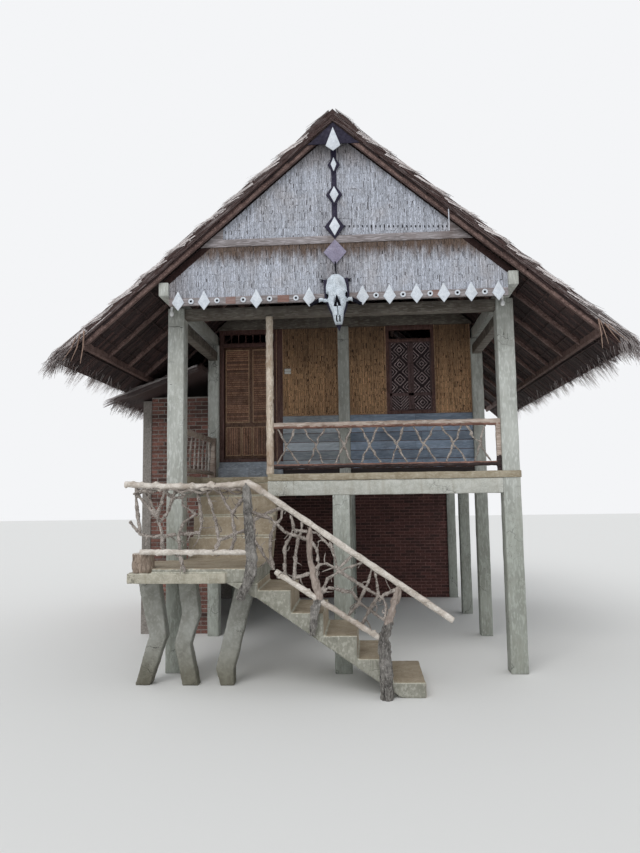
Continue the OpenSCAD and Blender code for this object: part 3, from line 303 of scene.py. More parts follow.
finish("railLog", (140, 124, 113), (180, 165, 153), (214, 203, 193), 14, (0.1, 1, 1), 0.5,
       (106, 84, 73), crack=0.6, crackScale=5, bump=0.7, depth=0.006, fine=0.5)
finish("railUnder", (100, 70, 60), (138, 102, 89), (172, 136, 122), 14, (0.1, 1, 1), 0.5,
       (70, 48, 42), crack=0.4, crackScale=5, bump=0.6, depth=0.006)
# The sides and underside of the bottom log: painted shade
finish("shadedLowLog", (40, 33, 33), (58, 48, 48), (84, 72, 70), 18, (0.1, 1, 1), 0.5,
       (30, 25, 25), crack=0.5, crackScale=5, bump=0.7, depth=0.006, sheen=0.2)
finish("creamPole", (166, 148, 128), (204, 191, 174), (226, 217, 204), 16, (1, 1, 0.2), 0.6,
       (140, 112, 88), crack=0.6, crackScale=6, bump=0.6, depth=0.006)
finish("brick", (88, 56, 48), (120, 80, 71), (146, 107, 96), 26, (1, 1, 1), 0.45,
       (64, 45, 40), tone=0.5, worn=(58, 42, 38), pit=0.6, bump=0.7, depth=0.006)
finish("underBrick", (70, 41, 38), (92, 56, 52), (114, 76, 70), 26, (1, 1, 1), 0.45,
       (52, 34, 32), tone=0.4, worn=(58, 38, 36), pit=0.5, bump=0.7, depth=0.006)
finish("mortar", (112, 106, 100), (146, 140, 134), (172, 167, 162), 30, (1, 1, 1), 0.5,
       (82, 74, 68), pit=0.4, bump=0.8)
finish("underMortar", (106, 76, 71), (140, 103, 96), (164, 128, 120), 30, (1, 1, 1), 0.5,
       (84, 60, 56), pit=0.4, bump=0.8)
finish("whitePaint", (196, 204, 214), (222, 229, 237), (236, 240, 245), 22, (1, 1, 1), 0.3,
       (168, 168, 168), bump=0.2, rough=(0.45, 0.7), tone=0.1, worn=(150, 140, 130))
finish("darkPaint", (34, 31, 44), (46, 43, 60), (66, 62, 82), 26, (1, 1, 1), 0.35,
       (26, 23, 32), bump=0.2, rough=(0.45, 0.75), sheen=0.15)
finish("mauvePaint", (122, 117, 138), (141, 136, 158), (156, 151, 173), 20, (1, 1, 1), 0.3,
       (112, 98, 108), bump=0.2, rough=(0.5, 0.75))
finish("bone", (164, 174, 182), (209, 219, 229), (232, 239, 246), 16, (1, 1, 1), 0.5,
       (136, 134, 130), crack=0.6, crackScale=9, bump=0.5)
finish("hollow", (14, 14, 20), (20, 20, 30), (28, 28, 38), 30, (1, 1, 1), 0.3,
       sheen=0.1)
finish("gapShade", (34, 23, 22), (48, 33, 31), (64, 46, 43), 30, (1, 1, 1), 0.4, bump=0.4,
       sheen=0.15)
finish("lampGlass", (236, 238, 240), (246, 247, 249), (252, 252, 253), 12, (1, 1, 1), 0.1,
       (214, 212, 206), bump=0.05, rough=(0.15, 0.3))
finish("hingeSteel", (62, 54, 50), (92, 82, 76), (116, 106, 100), 60, (1, 1, 1), 0.5,
       (96, 58, 38), bump=0.4, rough=(0.45, 0.7))
finish("plate", (206, 206, 200), (224, 224, 220), (234, 234, 232), 30, (1, 1, 1), 0.2,
       (180, 176, 166), bump=0.1, rough=(0.35, 0.5))
print("stage: materials", len(finishes))


# Mesh building

def tubeFaces(rings, sides):
    # Four-sided faces between rings of points
    return [(r * sides + k, r * sides + (k + 1) % sides, (r + 1) * sides + (k + 1) % sides,
             (r + 1) * sides + k) for r in range(rings) for k in range(sides)]


def facing(faces, flip):
    # Mirrored pieces have their faces turned round
    return [tuple(reversed(face)) for face in faces] if flip else faces


class Shape:
    # Points and faces of one piece, and the tone and wear of each face; on the reed walls the wear
    # also holds painted shade
    def __init__(self):
        self.points, self.faces, self.tones, self.worn = [], [], [], []

    def add(self, points, faces, tone=0.5, worn=0.0):
        base = len(self.points)
        self.points.extend(points)
        self.faces.extend(tuple(base + i for i in face) for face in faces)
        self.tones.extend([tone] * len(faces))
        self.worn.extend([worn] * len(faces))

    def box(self, low, high, tone=0.5, cut=0.003, worn=0.0):
        # A block with cut edges
        points = []
        middle = [(a + b) / 2 for a, b in zip(low, high)]
        half = [(b - a) / 2 for a, b in zip(low, high)]
        for corner in boxCorners:
            for axis in range(3):
                points.append(Vector(middle[i] + corner[i] * (half[i] - (0 if i == axis else cut))
                                     for i in range(3)))
        self.add(points, boxFaces, tone, worn)

    def block(self, low, high, tone, worn, place, cut=0.003):
        # The front of a block whose back is buried in a wall
        points = []
        for inset, d in ((0, low[2]), (0, high[2] - cut), (cut, high[2])):
            x0, z0, x1, z1 = low[0] + inset, low[1] + inset, high[0] - inset, high[1] - inset
            points += [place(Vector(p)) for p in ((x0, z0, d), (x1, z0, d), (x1, z1, d),
                                                  (x0, z1, d))]
        self.add(points, tubeFaces(2, 4) + [(8, 9, 10, 11)], tone, worn)

    def rod(self, route, radii, sides=5, tone=0.5, worn=0.0, flat=1.0, up=None):
        # A round or flat bar along a route
        route = [Vector(p) for p in route]
        points, last = [], None
        for i, p in enumerate(route):
            along = (route[min(i + 1, len(route) - 1)] - route[max(i - 1, 0)]).normalized()
            if last is None:
                guide = Vector(up) if up else Vector((0.13, 0.21, 1.0))
                if abs(along.dot(guide.normalized())) > 0.95:
                    guide = Vector((1.0, 0.3, 0.1))
                across = along.cross(guide).normalized()
            else:
                across = (last - along * last.dot(along)).normalized()
            last = across
            other = along.cross(across)
            for k in range(sides):
                turn = 2 * math.pi * k / sides
                points.append(p + across * (math.cos(turn) * radii[i])
                              + other * (math.sin(turn) * radii[i] * flat))
        faces = tubeFaces(len(route) - 1, sides)
        faces.append(tuple(reversed(range(sides))))
        faces.append(tuple(range((len(route) - 1) * sides, len(route) * sides)))
        self.add(points, faces, tone, worn)

    def done(self, name, material, slot, body="house", smooth=None):
        mesh = bpy.data.meshes.new(name)
        mesh.from_pydata([tuple(p) for p in self.points], [], self.faces)
        for label, values in (("tone", self.tones), ("worn", self.worn)):
            layer = mesh.attributes.new(label, "FLOAT", "FACE")
            layer.data.foreach_set("value", values)
        return settle(mesh, name, material, body, smooth)


def boxTopology():
    # Three points at each corner, and the faces, edge strips and corner cuts between them
    corners = [(x, y, z) for x in (-1, 1) for y in (-1, 1) for z in (-1, 1)]
    where = {(corner, axis): i * 3 + axis
             for i, corner in enumerate(corners) for axis in range(3)}
    spots = [Vector(c[i] * (1.0 if i == a else 0.8) for i in range(3))
             for c in corners for a in range(3)]
    faces = []
    for axis in range(3):
        b, c = [i for i in range(3) if i != axis]
        for side in (-1, 1):
            ring = []
            for sb, sc in ((-1, -1), (1, -1), (1, 1), (-1, 1)):
                corner = [0, 0, 0]
                corner[axis], corner[b], corner[c] = side, sb, sc
                ring.append(where[(tuple(corner), axis)])
            faces.append(ring)
        for sb in (-1, 1):
            for sc in (-1, 1):
                ends = []
                for side in (-1, 1):
                    corner = [0, 0, 0]
                    corner[axis], corner[b], corner[c] = side, sb, sc
                    ends.append(tuple(corner))
                faces.append([where[(ends[0], b)], where[(ends[1], b)], where[(ends[1], c)],
                              where[(ends[0], c)]])
    for corner in corners:
        faces.append([where[(corner, axis)] for axis in range(3)])
    turned = []
    for face in faces:
        a, b, c = (spots[i] for i in face[:3])
        out = (b - a).cross(c - a).dot(sum((spots[i] for i in face), Vector()))
        turned.append(tuple(face) if out > 0 else tuple(reversed(face)))
    return corners, turned


boxCorners, boxFaces = boxTopology()


def settle(mesh, name, material, body="house", smooth=None):
    mesh.materials.clear()
    mesh.materials.append(finishes[material])
    if smooth is not None:
        mesh.shade_smooth()
        mesh.set_sharp_from_angle(angle=math.radians(smooth))
    made = bpy.data.objects.new(name, mesh)
    bpy.context.scene.collection.objects.link(made)
    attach(made, body)
    return made


def dress(material, *names):
    # A better material for CAD nodes that stay in view
    for name in names:
        nodes[name].data.materials.clear()
        nodes[name].data.materials.append(finishes[material])


def cutGrid(bm, step, low, high):
    # Cuts across each axis, so that long faces can bend
    for axis in range(3):
        count = int((high[axis] - low[axis]) / step)
        normal = Vector((axis == 0, axis == 1, axis == 2))
        for k in range(1, count):
            at = Vector(low) + normal * ((high[axis] - low[axis]) * k / count)
            geometry = bm.verts[:] + bm.edges[:] + bm.faces[:]
            bmesh.ops.bisect_plane(bm, geom=geometry, dist=1e-5, plane_co=at, plane_no=normal)


def rumple(verts, amount, scale, shift=0.0):
    for v in verts:
        p = v.co * scale + Vector((shift, shift * 0.7, shift * 1.3))
        v.co += v.normal * amount * (noise.noise(p) + 0.5 * noise.noise(p * 2.7))


def weathered(node, material, slot, step=0.12, edge=0.008, amount=0.003, scale=7.0,
              body="house"):
    # The same solid with worn corners and faces that aren't quite true
    bm = bmesh.new()
    bm.from_mesh(nodes[node].data)
    bmesh.ops.remove_doubles(bm, verts=bm.verts, dist=1e-4)
    bmesh.ops.dissolve_limit(bm, angle_limit=math.radians(1), verts=bm.verts, edges=bm.edges)
    sharp = [e for e in bm.edges if e.is_manifold and e.calc_face_angle(0) > math.radians(30)]
    bmesh.ops.bevel(bm, geom=sharp, offset=edge, segments=2, profile=0.5, affect="EDGES",
                    clamp_overlap=True)
    low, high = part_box(node)
    cutGrid(bm, step, low, high)
    bmesh.ops.triangulate(bm, faces=[f for f in bm.faces if len(f.verts) > 4])
    bm.normal_update()
    rumple(bm.verts, amount, scale, len(node))
    mesh = bpy.data.meshes.new(node + "_worn")
    bm.to_mesh(mesh)
    bm.free()
    made = settle(mesh, node + "_worn", material, body, 35)
    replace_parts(made, node)
    return made


def grown(node, material, slot, cell=0.008, amount=0.008, scale=9.0, smooth=2, shape=None,
          pick=None, others=(), angle=180, keep=0.33):
    # The same solid as one skin, lumpy like natural wood
    source = nodes[node].copy()
    source.data = nodes[node].data.copy()
    bpy.context.scene.collection.objects.link(source)
    remesh = source.modifiers.new("skin", "REMESH")
    remesh.mode, remesh.voxel_size = "VOXEL", cell
    if smooth:
        soften = source.modifiers.new("soften", "SMOOTH")
        soften.factor, soften.iterations = 0.5, smooth
    graph = bpy.context.evaluated_depsgraph_get()
    mesh = bpy.data.meshes.new_from_object(source.evaluated_get(graph))
    bm = bmesh.new()
    bm.from_mesh(mesh)
    bm.normal_update()
    rumple(bm.verts, amount, scale, len(node))
    if shape:
        shape(bm)
    bm.to_mesh(mesh)
    bm.free()
    # Fewer faces where the skin is even
    source.modifiers.clear()
    source.data = mesh
    source.modifiers.new("thin", "DECIMATE").ratio = keep
    graph = bpy.context.evaluated_depsgraph_get()
    mesh = bpy.data.meshes.new_from_object(source.evaluated_get(graph))
    bpy.data.objects.remove(source)
    bm = bmesh.new()
    bm.from_mesh(mesh)
    bm.normal_update()
    which = [pick(f) for f in bm.faces] if pick else None
    bm.free()
    made = settle(mesh, node + "_grown", material, "house", angle)
    for other in others:
        mesh.materials.append(finishes[other])
    if which:
        mesh.polygons.foreach_set("material_index", which)
    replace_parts(made, node)
    return made


# Cast concrete

posts = {"step": 0.15, "edge": 0.010, "amount": 0.004}
floorBeams = {"step": 0.12, "edge": 0.010, "amount": 0.005}
eaveBeams = {"step": 0.3, "edge": 0.006, "amount": 0.003}
verandaSlab = {"step": 0.12, "edge": 0.014, "amount": 0.007}
roomSlab = {"step": 0.3, "edge": 0.006, "amount": 0.002}


def shadeLow(name, low, high, shade):
    # Greyer towards the foot
    tree = finishes[name].node_tree
    color = tree.nodes["Principled BSDF"].inputs["Base Color"]
    shaded = placed(tree, "shade", {"Color": color.links[0].from_socket, "Low": low,
                                    "High": high, "Shade": rgb(*shade)})
    tree.links.new(shaded["Color"], color)


shadeLow("concrete", 1.6, 2.7, (222, 224, 220))
shadeLow("stairLeg", 0.0, 0.7, (196, 191, 177))
for node in ("front_left_post", "front_middle_post", "front_right_post", "second_row_posts",
             "rear_posts"):
    weathered(node, "concrete", "concrete", **posts)
weathered("floor_beams", "beamConcrete", "concrete", **floorBeams)
weathered("eave_beams", "concrete", "concrete", **eaveBeams)
weathered("veranda_floor", "slabFace", "floor_screed", **verandaSlab)
weathered("room_floor", "stepPaint", "room_floor", **roomSlab)

flights = {"cell": 0.013, "amount": 0.004, "scale": 7.0, "smooth": 1, "angle": 50, "keep": 0.2}
landing = {"cell": 0.013, "amount": 0.007, "scale": 9.0, "smooth": 1, "angle": 50, "keep": 0.2}
legs = {"cell": 0.013, "amount": 0.007, "scale": 6.0, "smooth": 1, "angle": 50, "keep": 0.3}
haunch = {"left": -1.335, "right": -0.985, "top": 1.302, "foot": 1.125, "inset": 0.006}


def stairFace(face):
    # Treads and risers are browner than the sides, and the edge faces that slope upwards are pale
    p, n = face.calc_center_median(), face.normal
    if 0.35 < n.z < 0.93:
        return 2
    along = n.x > 0.7 and p.x > -1.1
    back = n.y < -0.7 and p.y > -0.2
    return 1 if n.z > 0.6 or along or back else 0


def landingFace(face):
    # The lip is pale, and the slab behind it is like the sides of the stair
    p, n = face.calc_center_median(), face.normal
    if p.y < -1.19 or p.z < 1.43 and p.x < -1.32:
        return 2 if 0.35 < n.z < 0.93 else 0
    if n.z > 0.6:
        return 3
    return 2 if n.z > 0.3 else 1


for node in ("lower_flight", "upper_flight"):
    grown(node, "stairSide", "stair_concrete", pick=stairFace,
          others=("stairTread", "stairEdge"), **flights)
grown("landing_slab", "lipConcrete", "stair_concrete", pick=landingFace,
      others=("stairSide", "stairEdge", "stairTread"), **landing)
grown("landing_legs", "stairLeg", "stair_concrete", **legs)
# The stringer runs on up under the landing, beside its leg
wedge = Shape()
flightLow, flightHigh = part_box("lower_flight")
points = [(x, y, z) for y in (flightLow.y + haunch["inset"], flightHigh.y - haunch["inset"])
          for x, z in ((haunch["left"], haunch["top"]), (haunch["right"], haunch["top"]),
                       (haunch["right"], haunch["foot"]))]
wedge.add(points, [(2, 1, 0), (3, 4, 5), (0, 1, 4, 3), (1, 2, 5, 4), (2, 0, 3, 5)])
wedge.done("landing_haunch", "stairSide", "stair_concrete")
# Short dark marks on the left front post
marks = Shape()
for x0, x1, z in ((-2.345, -2.19, 4.67), (-2.19, -2.15, 4.655), (-2.33, -2.29, 3.86)):
    marks.rod([(x0, -0.112, z), ((x0 + x1) / 2, -0.112, z - 0.006), (x1, -0.112, z)],
              [0.002, 0.004, 0.002], 5)
marks.done("post_marks", "hollow", "concrete")
print("stage: concrete")


# Timber of the frame and roof

timber = {"step": 0.3, "edge": 0.004, "amount": 0.0015, "scale": 5.0}
for material, slot, names in (
        ("wallBeam", "beam_timber", ("front_tie_beam", "side_tie_beams", "row_beams")),
        ("rafterTimber", "roof_timber", ("left_rafters", "right_rafters", "purlins")),
        ("crossBoard", "roof_timber", ("gable_trim",)),
        ("frameWood", "frame_wood", ("window_frame", "door_frame"))):
    for node in names:
        weathered(node, material, slot, **timber)
print("stage: timber")


# Natural wood

def knots(count, seed, reach, size, right=9.0):
    # Lumps and cut stubs of side shoots, left of a given place
    def shape(bm):
        rng = random.Random(seed)
        able = [v for v in bm.verts if v.co.x < right]
        spots = [able[rng.randrange(len(able))].co.copy() for _ in range(count)]
        high = [rng.uniform(0.4, 1.0) * reach for _ in range(count)]
        wide = [rng.uniform(0.6, 1.3) * size for _ in range(count)]
        for v in bm.verts:
            for spot, lift, w in zip(spots, high, wide):
                d = (v.co - spot).length
                if d < w:
                    v.co += v.normal * lift * (1 - (d / w) ** 2) ** 2
    return shape


def barky(amount, scale):
    # Ridges that run with the trunk
    def shape(bm):
        for v in bm.verts:
            p = v.co * scale
            p.z *= 0.2
            v.co += v.normal * amount * (1 - 2.6 * abs(noise.noise(p)))
    return shape


def swollen(amount, beyond=None, right=9.0):
    # Thicker or thinner, with another amount right of a given place
    def shape(bm):
        for v in bm.verts:
            v.co += v.normal * (beyond if v.co.x > right else amount)
    return shape


def crooked(amount, low, high):
    # Branches wander between the logs that hold them
    def shape(bm):
        for v in bm.verts:
            share = min(1.0, max(0.0, (v.co.z - low) / (high - low)))
            bend = noise.noise(Vector((v.co.x * 4, 3.1, v.co.z * 9)))
            v.co.x += amount * math.sin(math.pi * share) * bend
    return shape


def inTurn(*shapes):
    def shape(bm):
        for each in shapes:
            each(bm)
            bm.normal_update()
    return shape


def trunkFace(face):
    # Bark is left on the feet of the two trunks beside the steps
    p = face.calc_center_median()
    edge = 0.12 * noise.noise(p * 9)
    return 1 if -0.6 < p.x < 0.2 and p.z > 1.1 + edge or p.x > 0.3 and p.z > 0.86 + edge else 0


def railFace(face):
    # Red bark is left under the top log and on top of the bottom log, whose sides and underside
    # are dark with painted shade
    z, up = face.calc_center_median().z, face.normal.z
    if z < 2.80:
        return 2 if up > 0.4 else 1
    return 2 if up < -0.3 and z > 3.19 else 0


twigs = {"long": 0.085, "thick": 0.0085, "apart": 0.07}


def twigsOf(made, count, seed):
    # Short forked shoots that stand off the limbs
    rng = random.Random(seed)
    spots = made.data.vertices
    shoots, used = Shape(), []
    for _ in range(count):
        v = spots[rng.randrange(len(spots))]
        if v.co.x < -2.3 or any((v.co - other).length < twigs["apart"] for other in used):
            continue
        used.append(v.co)
        out = v.normal.copy()
        out.y *= 0.5
        side = Vector((rng.gauss(0, 1), rng.gauss(0, 0.4), rng.gauss(0, 1))).normalized()
        long = twigs["long"] * rng.uniform(0.4, 1.2)
        thick = twigs["thick"] * rng.uniform(0.6, 1.2)
        route = [v.co - out * 0.01, v.co + (out + side * 0.2) * long * 0.4,
                 v.co + (out + side * 0.7) * long * 0.75, v.co + (out + side * 1.1) * long]
        shoots.rod(route, [thick, thick * 0.85, thick * 0.7, thick * 0.45], 6)
    shoots.done(made.name + "_twigs", "branch", "branch")


# How uneven the skin of each piece is, at what scale, and how finely it is cut
topPole = {"amount": 0.006, "scale": 6.0}
trunks = {"amount": 0.016, "smooth": 1}
limbs = {"cell": 0.006, "amount": 0.011, "scale": 16.0}
stump = {"scale": 12.0, "smooth": 1}
cornerPole = {"scale": 8.0}
frontLogs = {"amount": 0.007}
sideLogs = {"amount": 0.006}
frontCrosses = {"cell": 0.006, "scale": 20.0}
sideBranches = {"cell": 0.006, "amount": 0.006, "scale": 24.0}


def stumpFace(face):
    # The cut top is pale
    return 1 if face.normal.z > 0.7 else 0


grown("stair_top_pole", "paleWood", "branch", **topPole,
      shape=inTurn(swollen(0.004, beyond=-0.006, right=-0.9),
                   knots(26, seed=3, reach=0.024, size=0.045, right=-1.0)))
grown("stair_low_rails", "paleWood", "branch", shape=knots(18, seed=4, reach=0.022, size=0.03))
grown("stair_trunks", "bark", "branch", **trunks, shape=barky(0.013, scale=30), pick=trunkFace,
      others=("trunkSkin",))
landingLimbs = grown("landing_branches", "branch", "branch", **limbs, shape=inTurn(
    swollen(0.003), knots(40, seed=5, reach=0.016, size=0.026)))
twigsOf(landingLimbs, count=80, seed=51)
flightLimbs = grown("flight_branches", "branch", "branch", **limbs, shape=inTurn(
    swollen(0.002), knots(46, seed=6, reach=0.016, size=0.026)))
twigsOf(flightLimbs, count=75, seed=52)
grown("corner_stump", "stumpBark", "branch", **stump, shape=barky(0.008, scale=34),
      pick=stumpFace, others=("paleWood",))
grown("veranda_pole", "creamPole", "branch", **cornerPole,
      shape=knots(12, seed=7, reach=0.018, size=0.04))
grown("front_rail_logs", "railLog", "log", **frontLogs, pick=railFace,
      shape=knots(8, seed=8, reach=0.008, size=0.04), others=("shadedLowLog", "railUnder"))
grown("side_rail_logs", "railLog", "log", **sideLogs)
grown("front_rail_branches", "branch", "branch", **frontCrosses, shape=inTurn(
    swollen(-0.002), crooked(0.05, low=2.72, high=3.22),
    knots(30, seed=9, reach=0.014, size=0.024)))
grown("side_rail_branches", "branch", "branch", **sideBranches)

# Thin limbs twine round the landing part of the top pole
twiners = {"radii": (0.017, 0.012, 0.009), "start": 0.12, "pitch": 0.052, "bends": 26,
           "y": -1.2, "z": 2.445}
twine = Shape()
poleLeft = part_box("stair_top_pole")[0].x
for seed, radius in enumerate(twiners["radii"], 1):
    rng = random.Random(seed)
    route, radii = [], []
    for i in range(twiners["bends"]):
        x = poleLeft + twiners["start"] + i * twiners["pitch"]
        turn = i * 0.55 + seed * 2.1
        drop = 0.055 + 0.03 * math.sin(i * 0.5 + seed)
        route.append((x, twiners["y"] + 0.045 * math.cos(turn) + rng.gauss(0, 0.004),
                      twiners["z"] - drop * (0.6 + 0.7 * math.sin(turn) ** 2)))
        radii.append(radius * rng.uniform(0.75, 1.25)
                     * (0.6 if i in (0, twiners["bends"] - 1) else 1))
    twine.rod(route, radii, 8)
twine.done("pole_twiners", "branch", "branch")
print("stage: branches")


# Thatch

roof = {"ridge": 7.2886, "fall": 0.8601, "cosine": 0.7581, "sine": 0.6521, "half": 3.62,
        "front": -0.79, "back": 7.19}
thatch = {"courses": 9, "first": 0.4353, "pitch": 0.4822, "rise": 0.035, "bundle": 0.058,
          "strands": 4600, "verge": 1500, "fringe": 2000, "hanging": 260, "corner": 130, "seed": 5}
edgeStrands = {"tips": 8, "loose": 34, "inner": 16}
underside = {"rows": 12, "pitch": 0.4, "lap": 0.43, "battens": 15, "firstBatten": 0.34,
             "battenPitch": 0.3}
farthest = {"left": 3.92, "right": 3.84, "front": -0.9, "back": 7.3}  # For loose ends
slopeLong = roof["half"] / roof["cosine"]


def slope(side, along, y, lift):
    # A place on the roof: down from the ridge, back from the front, and out from the slab
    return Vector((side * (along * roof["cosine"] + lift * roof["sine"]), y,
                   roof["ridge"] - along * roof["sine"] + lift * roof["cosine"]))


def leaf(shape, start, end, width, droop, tone, worn=0.0, up=None):
    # One loose strand, which bends down where it droops
    if abs(droop) < 0.02:
        shape.rod([start, end], [width, width * 0.3], 3, tone, worn, 0.35, up)
        return
    middle = (start + end) / 2 + Vector((0, 0, droop * 0.35))
    tip = end - Vector((0, 0, droop * 0.65))
    shape.rod([start, middle, tip], [width * 0.7, width, width * 0.25], 3, tone, worn, 0.35, up)


def courseLift(along):
    # How far the top of the thatch stands out of the slab
    if along < thatch["first"]:
        return 0.05
    return thatch["rise"] * (((along - thatch["first"]) / thatch["pitch"]) % 1)


def thatchCourses(side, name, rng):
    courses = Shape()
    for k in range(thatch["courses"]):
        top = thatch["first"] + k * thatch["pitch"] - 0.01
        y = roof["front"]
        while y < 7.18:
            wide = thatch["bundle"] * rng.uniform(0.6, 1.3)
            foot = top + thatch["pitch"] + rng.choice((0.0, 0.02, 0.05)) + rng.uniform(-0.04, 0.03)
            high = thatch["rise"] + rng.uniform(0.003, 0.013)
            points = []
            for share, lift, squeeze in ((0, 0.002, 1.0), (0.5, high * 0.55, 1.0),
                                         (0.94, high, 0.95), (1, high * 0.75, 0.55)):
                along = top + (foot - top) * share
                half, mid = wide / 2 * squeeze, y + wide / 2
                for across, down in ((-1, 0.016), (1, 0.016), (0.6, 0), (-0.6, 0)):
                    points.append(slope(side, along, mid + half * across, lift - down))
            faces = facing(tubeFaces(3, 4), side < 0) + [(15, 14, 13, 12)]
            courses.add(points, faces, rng.uniform(0.1, 0.9), 0.8 if rng.random() < 0.25 else 0.0)
            y += wide * 0.92
    courses.done(name + "_courses", "thatch", "thatch")


def thatchStrands(side, name, rng):
    strands = Shape()
    for _ in range(thatch["strands"]):
        foot = thatch["first"] + rng.randint(1, thatch["courses"]) * thatch["pitch"]
        start = foot - rng.uniform(0.05, 0.45)
        end = min(start + rng.uniform(0.18, 0.42), foot + rng.uniform(0.0, 0.07))
        y = rng.uniform(roof["front"], roof["back"])
        leaf(strands, slope(side, start, y, courseLift(start) + 0.004),
             slope(side, end, y + rng.gauss(0, 0.04), thatch["rise"] + rng.uniform(0.006, 0.02)),
             rng.uniform(0.003, 0.007), rng.uniform(-0.01, 0.01), rng.random(),
             0.0 if rng.random() < 0.75 else 0.7)
    strands.done(name + "_strands", "strand", "thatch")


def thatchVerge(side, name, rng):
    # Dark leaf ends fill the edge, with pale loose strands at the foot of each course, some in
    # brighter tones as a painted highlight of sky light
    verge = Shape()
    outward = (0, 1, 0)
    for i in range(thatch["verge"]):
        out = -1 if i % 3 else 1
        edge = -0.782 if out < 0 else 7.182
        start = rng.uniform(0.02, slopeLong - 0.15)
        lift = rng.uniform(-0.086, courseLift(start) - 0.004)
        end = min(start + rng.uniform(0.12, 0.4), slopeLong + 0.03)
        y = edge + out * rng.uniform(-0.004, 0.014)
        rise = max(-0.088, min(lift + rng.gauss(0, 0.012), courseLift(end) + 0.006))
        leaf(verge, slope(side, start, y, lift), slope(side, end, y + out * 0.006, rise),
             rng.uniform(0.004, 0.010), 0.0, rng.random(), rng.choice((1.0, 0.95, 0.8)), outward)
    for k in range(1, thatch["courses"] + 1):
        foot = thatch["first"] + k * thatch["pitch"]
        for out in (-1, -1, 1):
            edge = roof["front"] if out < 0 else roof["back"]
            # Pale leaves in the brighter tones, a painted highlight of sky light on the edge
            for _ in range(edgeStrands["tips"]):
                start = foot - rng.uniform(0.22, 0.5)
                end = foot + rng.uniform(-0.06, 0.05)
                y = edge + out * rng.uniform(0.0, 0.018)
                leaf(verge, slope(side, start, y, rng.uniform(-0.04, 0.006)),
                     slope(side, end, y, thatch["rise"] + rng.uniform(-0.02, 0.014)),
                     rng.uniform(0.004, 0.008), 0.0, rng.uniform(0.5, 1.0), 0.0, outward)
            for _ in range(edgeStrands["loose"]):
                start = foot - rng.uniform(0.0, thatch["pitch"])
                end = min(start + rng.uniform(0.1, 0.3), foot + 0.04)
                y = edge + out * rng.uniform(-0.05, 0.014)
                leaf(verge, slope(side, start, y, courseLift(start) - 0.012),
                     slope(side, end, y + rng.gauss(0, 0.006),
                           courseLift(end - 0.001) + rng.uniform(-0.012, 0.012)),
                     rng.uniform(0.003, 0.007), 0.0, rng.uniform(0.3, 1.0),
                     rng.choice((0.0, 0.0, 0.4, 0.7)), outward)
            for _ in range(edgeStrands["inner"]):
                start = foot - rng.uniform(0.04, 0.16)
                y = edge - out * rng.uniform(0.0, 0.3)
                leaf(verge, slope(side, start, y, thatch["rise"]),
                     slope(side, start + rng.uniform(0.08, 0.2), y + rng.gauss(0, 0.02),
                           thatch["rise"] + rng.uniform(0.0, 0.04)),
                     rng.uniform(0.003, 0.007), 0.0, rng.uniform(0.1, 0.8),
                     rng.choice((0.0, 0.3, 0.7)))
    verge.done(name + "_verge", "strand", "thatch")


def thatchFringe(side, name, rng):
    # Ragged leaf tips past the board at the foot of the rafters, in loose clumps
    fringe = Shape()
    limit = farthest["right"] if side > 0 else farthest["left"]

    def held(p):
        return Vector((max(-limit, min(limit, p.x)),
                       max(farthest["front"], min(farthest["back"], p.y)), p.z))

    for _ in range(thatch["fringe"]):
        y = rng.uniform(roof["front"], roof["back"])
        reach = rng.uniform(0.02, 0.2) * (0.55 + noise.noise(Vector((y * 5, side, 0.3))))
        end = slopeLong + reach
        lift = rng.uniform(-0.095, 0.02)
        leaf(fringe, slope(side, slopeLong - rng.uniform(0.05, 0.3), y, lift),
             held(slope(side, end, y + rng.gauss(0, 0.02), lift + rng.uniform(-0.02, 0.02))),
             rng.uniform(0.006, 0.014), rng.uniform(0.0, 0.06), rng.random(),
             rng.choice((0.6, 0.8, 1.0)))
    y = -0.85
    while y < 7.15:
        y += rng.uniform(0.03, 0.22)
        reach, turn = rng.uniform(0.08, 0.32), rng.gauss(0, 0.10)
        for _ in range(rng.randint(8, 24)):
            lift = rng.uniform(-0.06, 0.03)
            own = y + rng.gauss(0, 0.02)
            leaf(fringe, slope(side, slopeLong - rng.uniform(0.1, 0.35), own, lift),
                 held(slope(side, slopeLong + reach * rng.uniform(0.6, 1.1),
                            own + turn + rng.gauss(0, 0.02), lift)),
                 rng.uniform(0.0025, 0.006), rng.uniform(0.02, 0.14), rng.uniform(0.2, 1.0),
                 0.0 if rng.random() < 0.75 else 0.6)
    for _ in range(thatch["hanging"]):
        y = rng.uniform(-0.8, 7.2) if rng.random() < 0.7 else rng.uniform(-0.8, -0.7)
        p = slope(side, slopeLong - rng.uniform(0.0, 0.12), y, -0.085)
        end = p + Vector((side * rng.uniform(0.02, 0.1), rng.gauss(0, 0.03),
                          -rng.uniform(0.08, 0.22)))
        leaf(fringe, p, held(end), rng.uniform(0.003, 0.006), 0.0, rng.random(),
             rng.choice((0.0, 0.4, 0.8)))
    for out, edge in ((-1, -0.785), (1, 7.185)):
        for _ in range(thatch["corner"]):
            # Long strands sweep down along the edge and droop past the corner
            start = slopeLong - rng.uniform(0.1, 0.95)
            y, lift = edge + out * rng.uniform(-0.05, 0.02), rng.uniform(-0.08, 0.03)
            knee = slope(side, slopeLong + rng.uniform(-0.08, 0.1),
                         y + out * rng.uniform(0, 0.03), lift)
            route = [slope(side, start, y, lift),
                     slope(side, (start + slopeLong) / 2, y, lift + 0.01),
                     held(knee), held(knee + Vector((side * rng.uniform(0.03, 0.15),
                                                     rng.gauss(0, 0.04),
                                                     -rng.uniform(0.06, 0.26))))]
            wide = rng.uniform(0.003, 0.007)
            fringe.rod(route, [wide * 0.7, wide, wide, wide * 0.3], 3, rng.uniform(0.2, 1.0),
                       rng.choice((0.0, 0.0, 0.5, 0.9)), 0.5)
    fringe.done(name + "_fringe", "strand", "thatch")


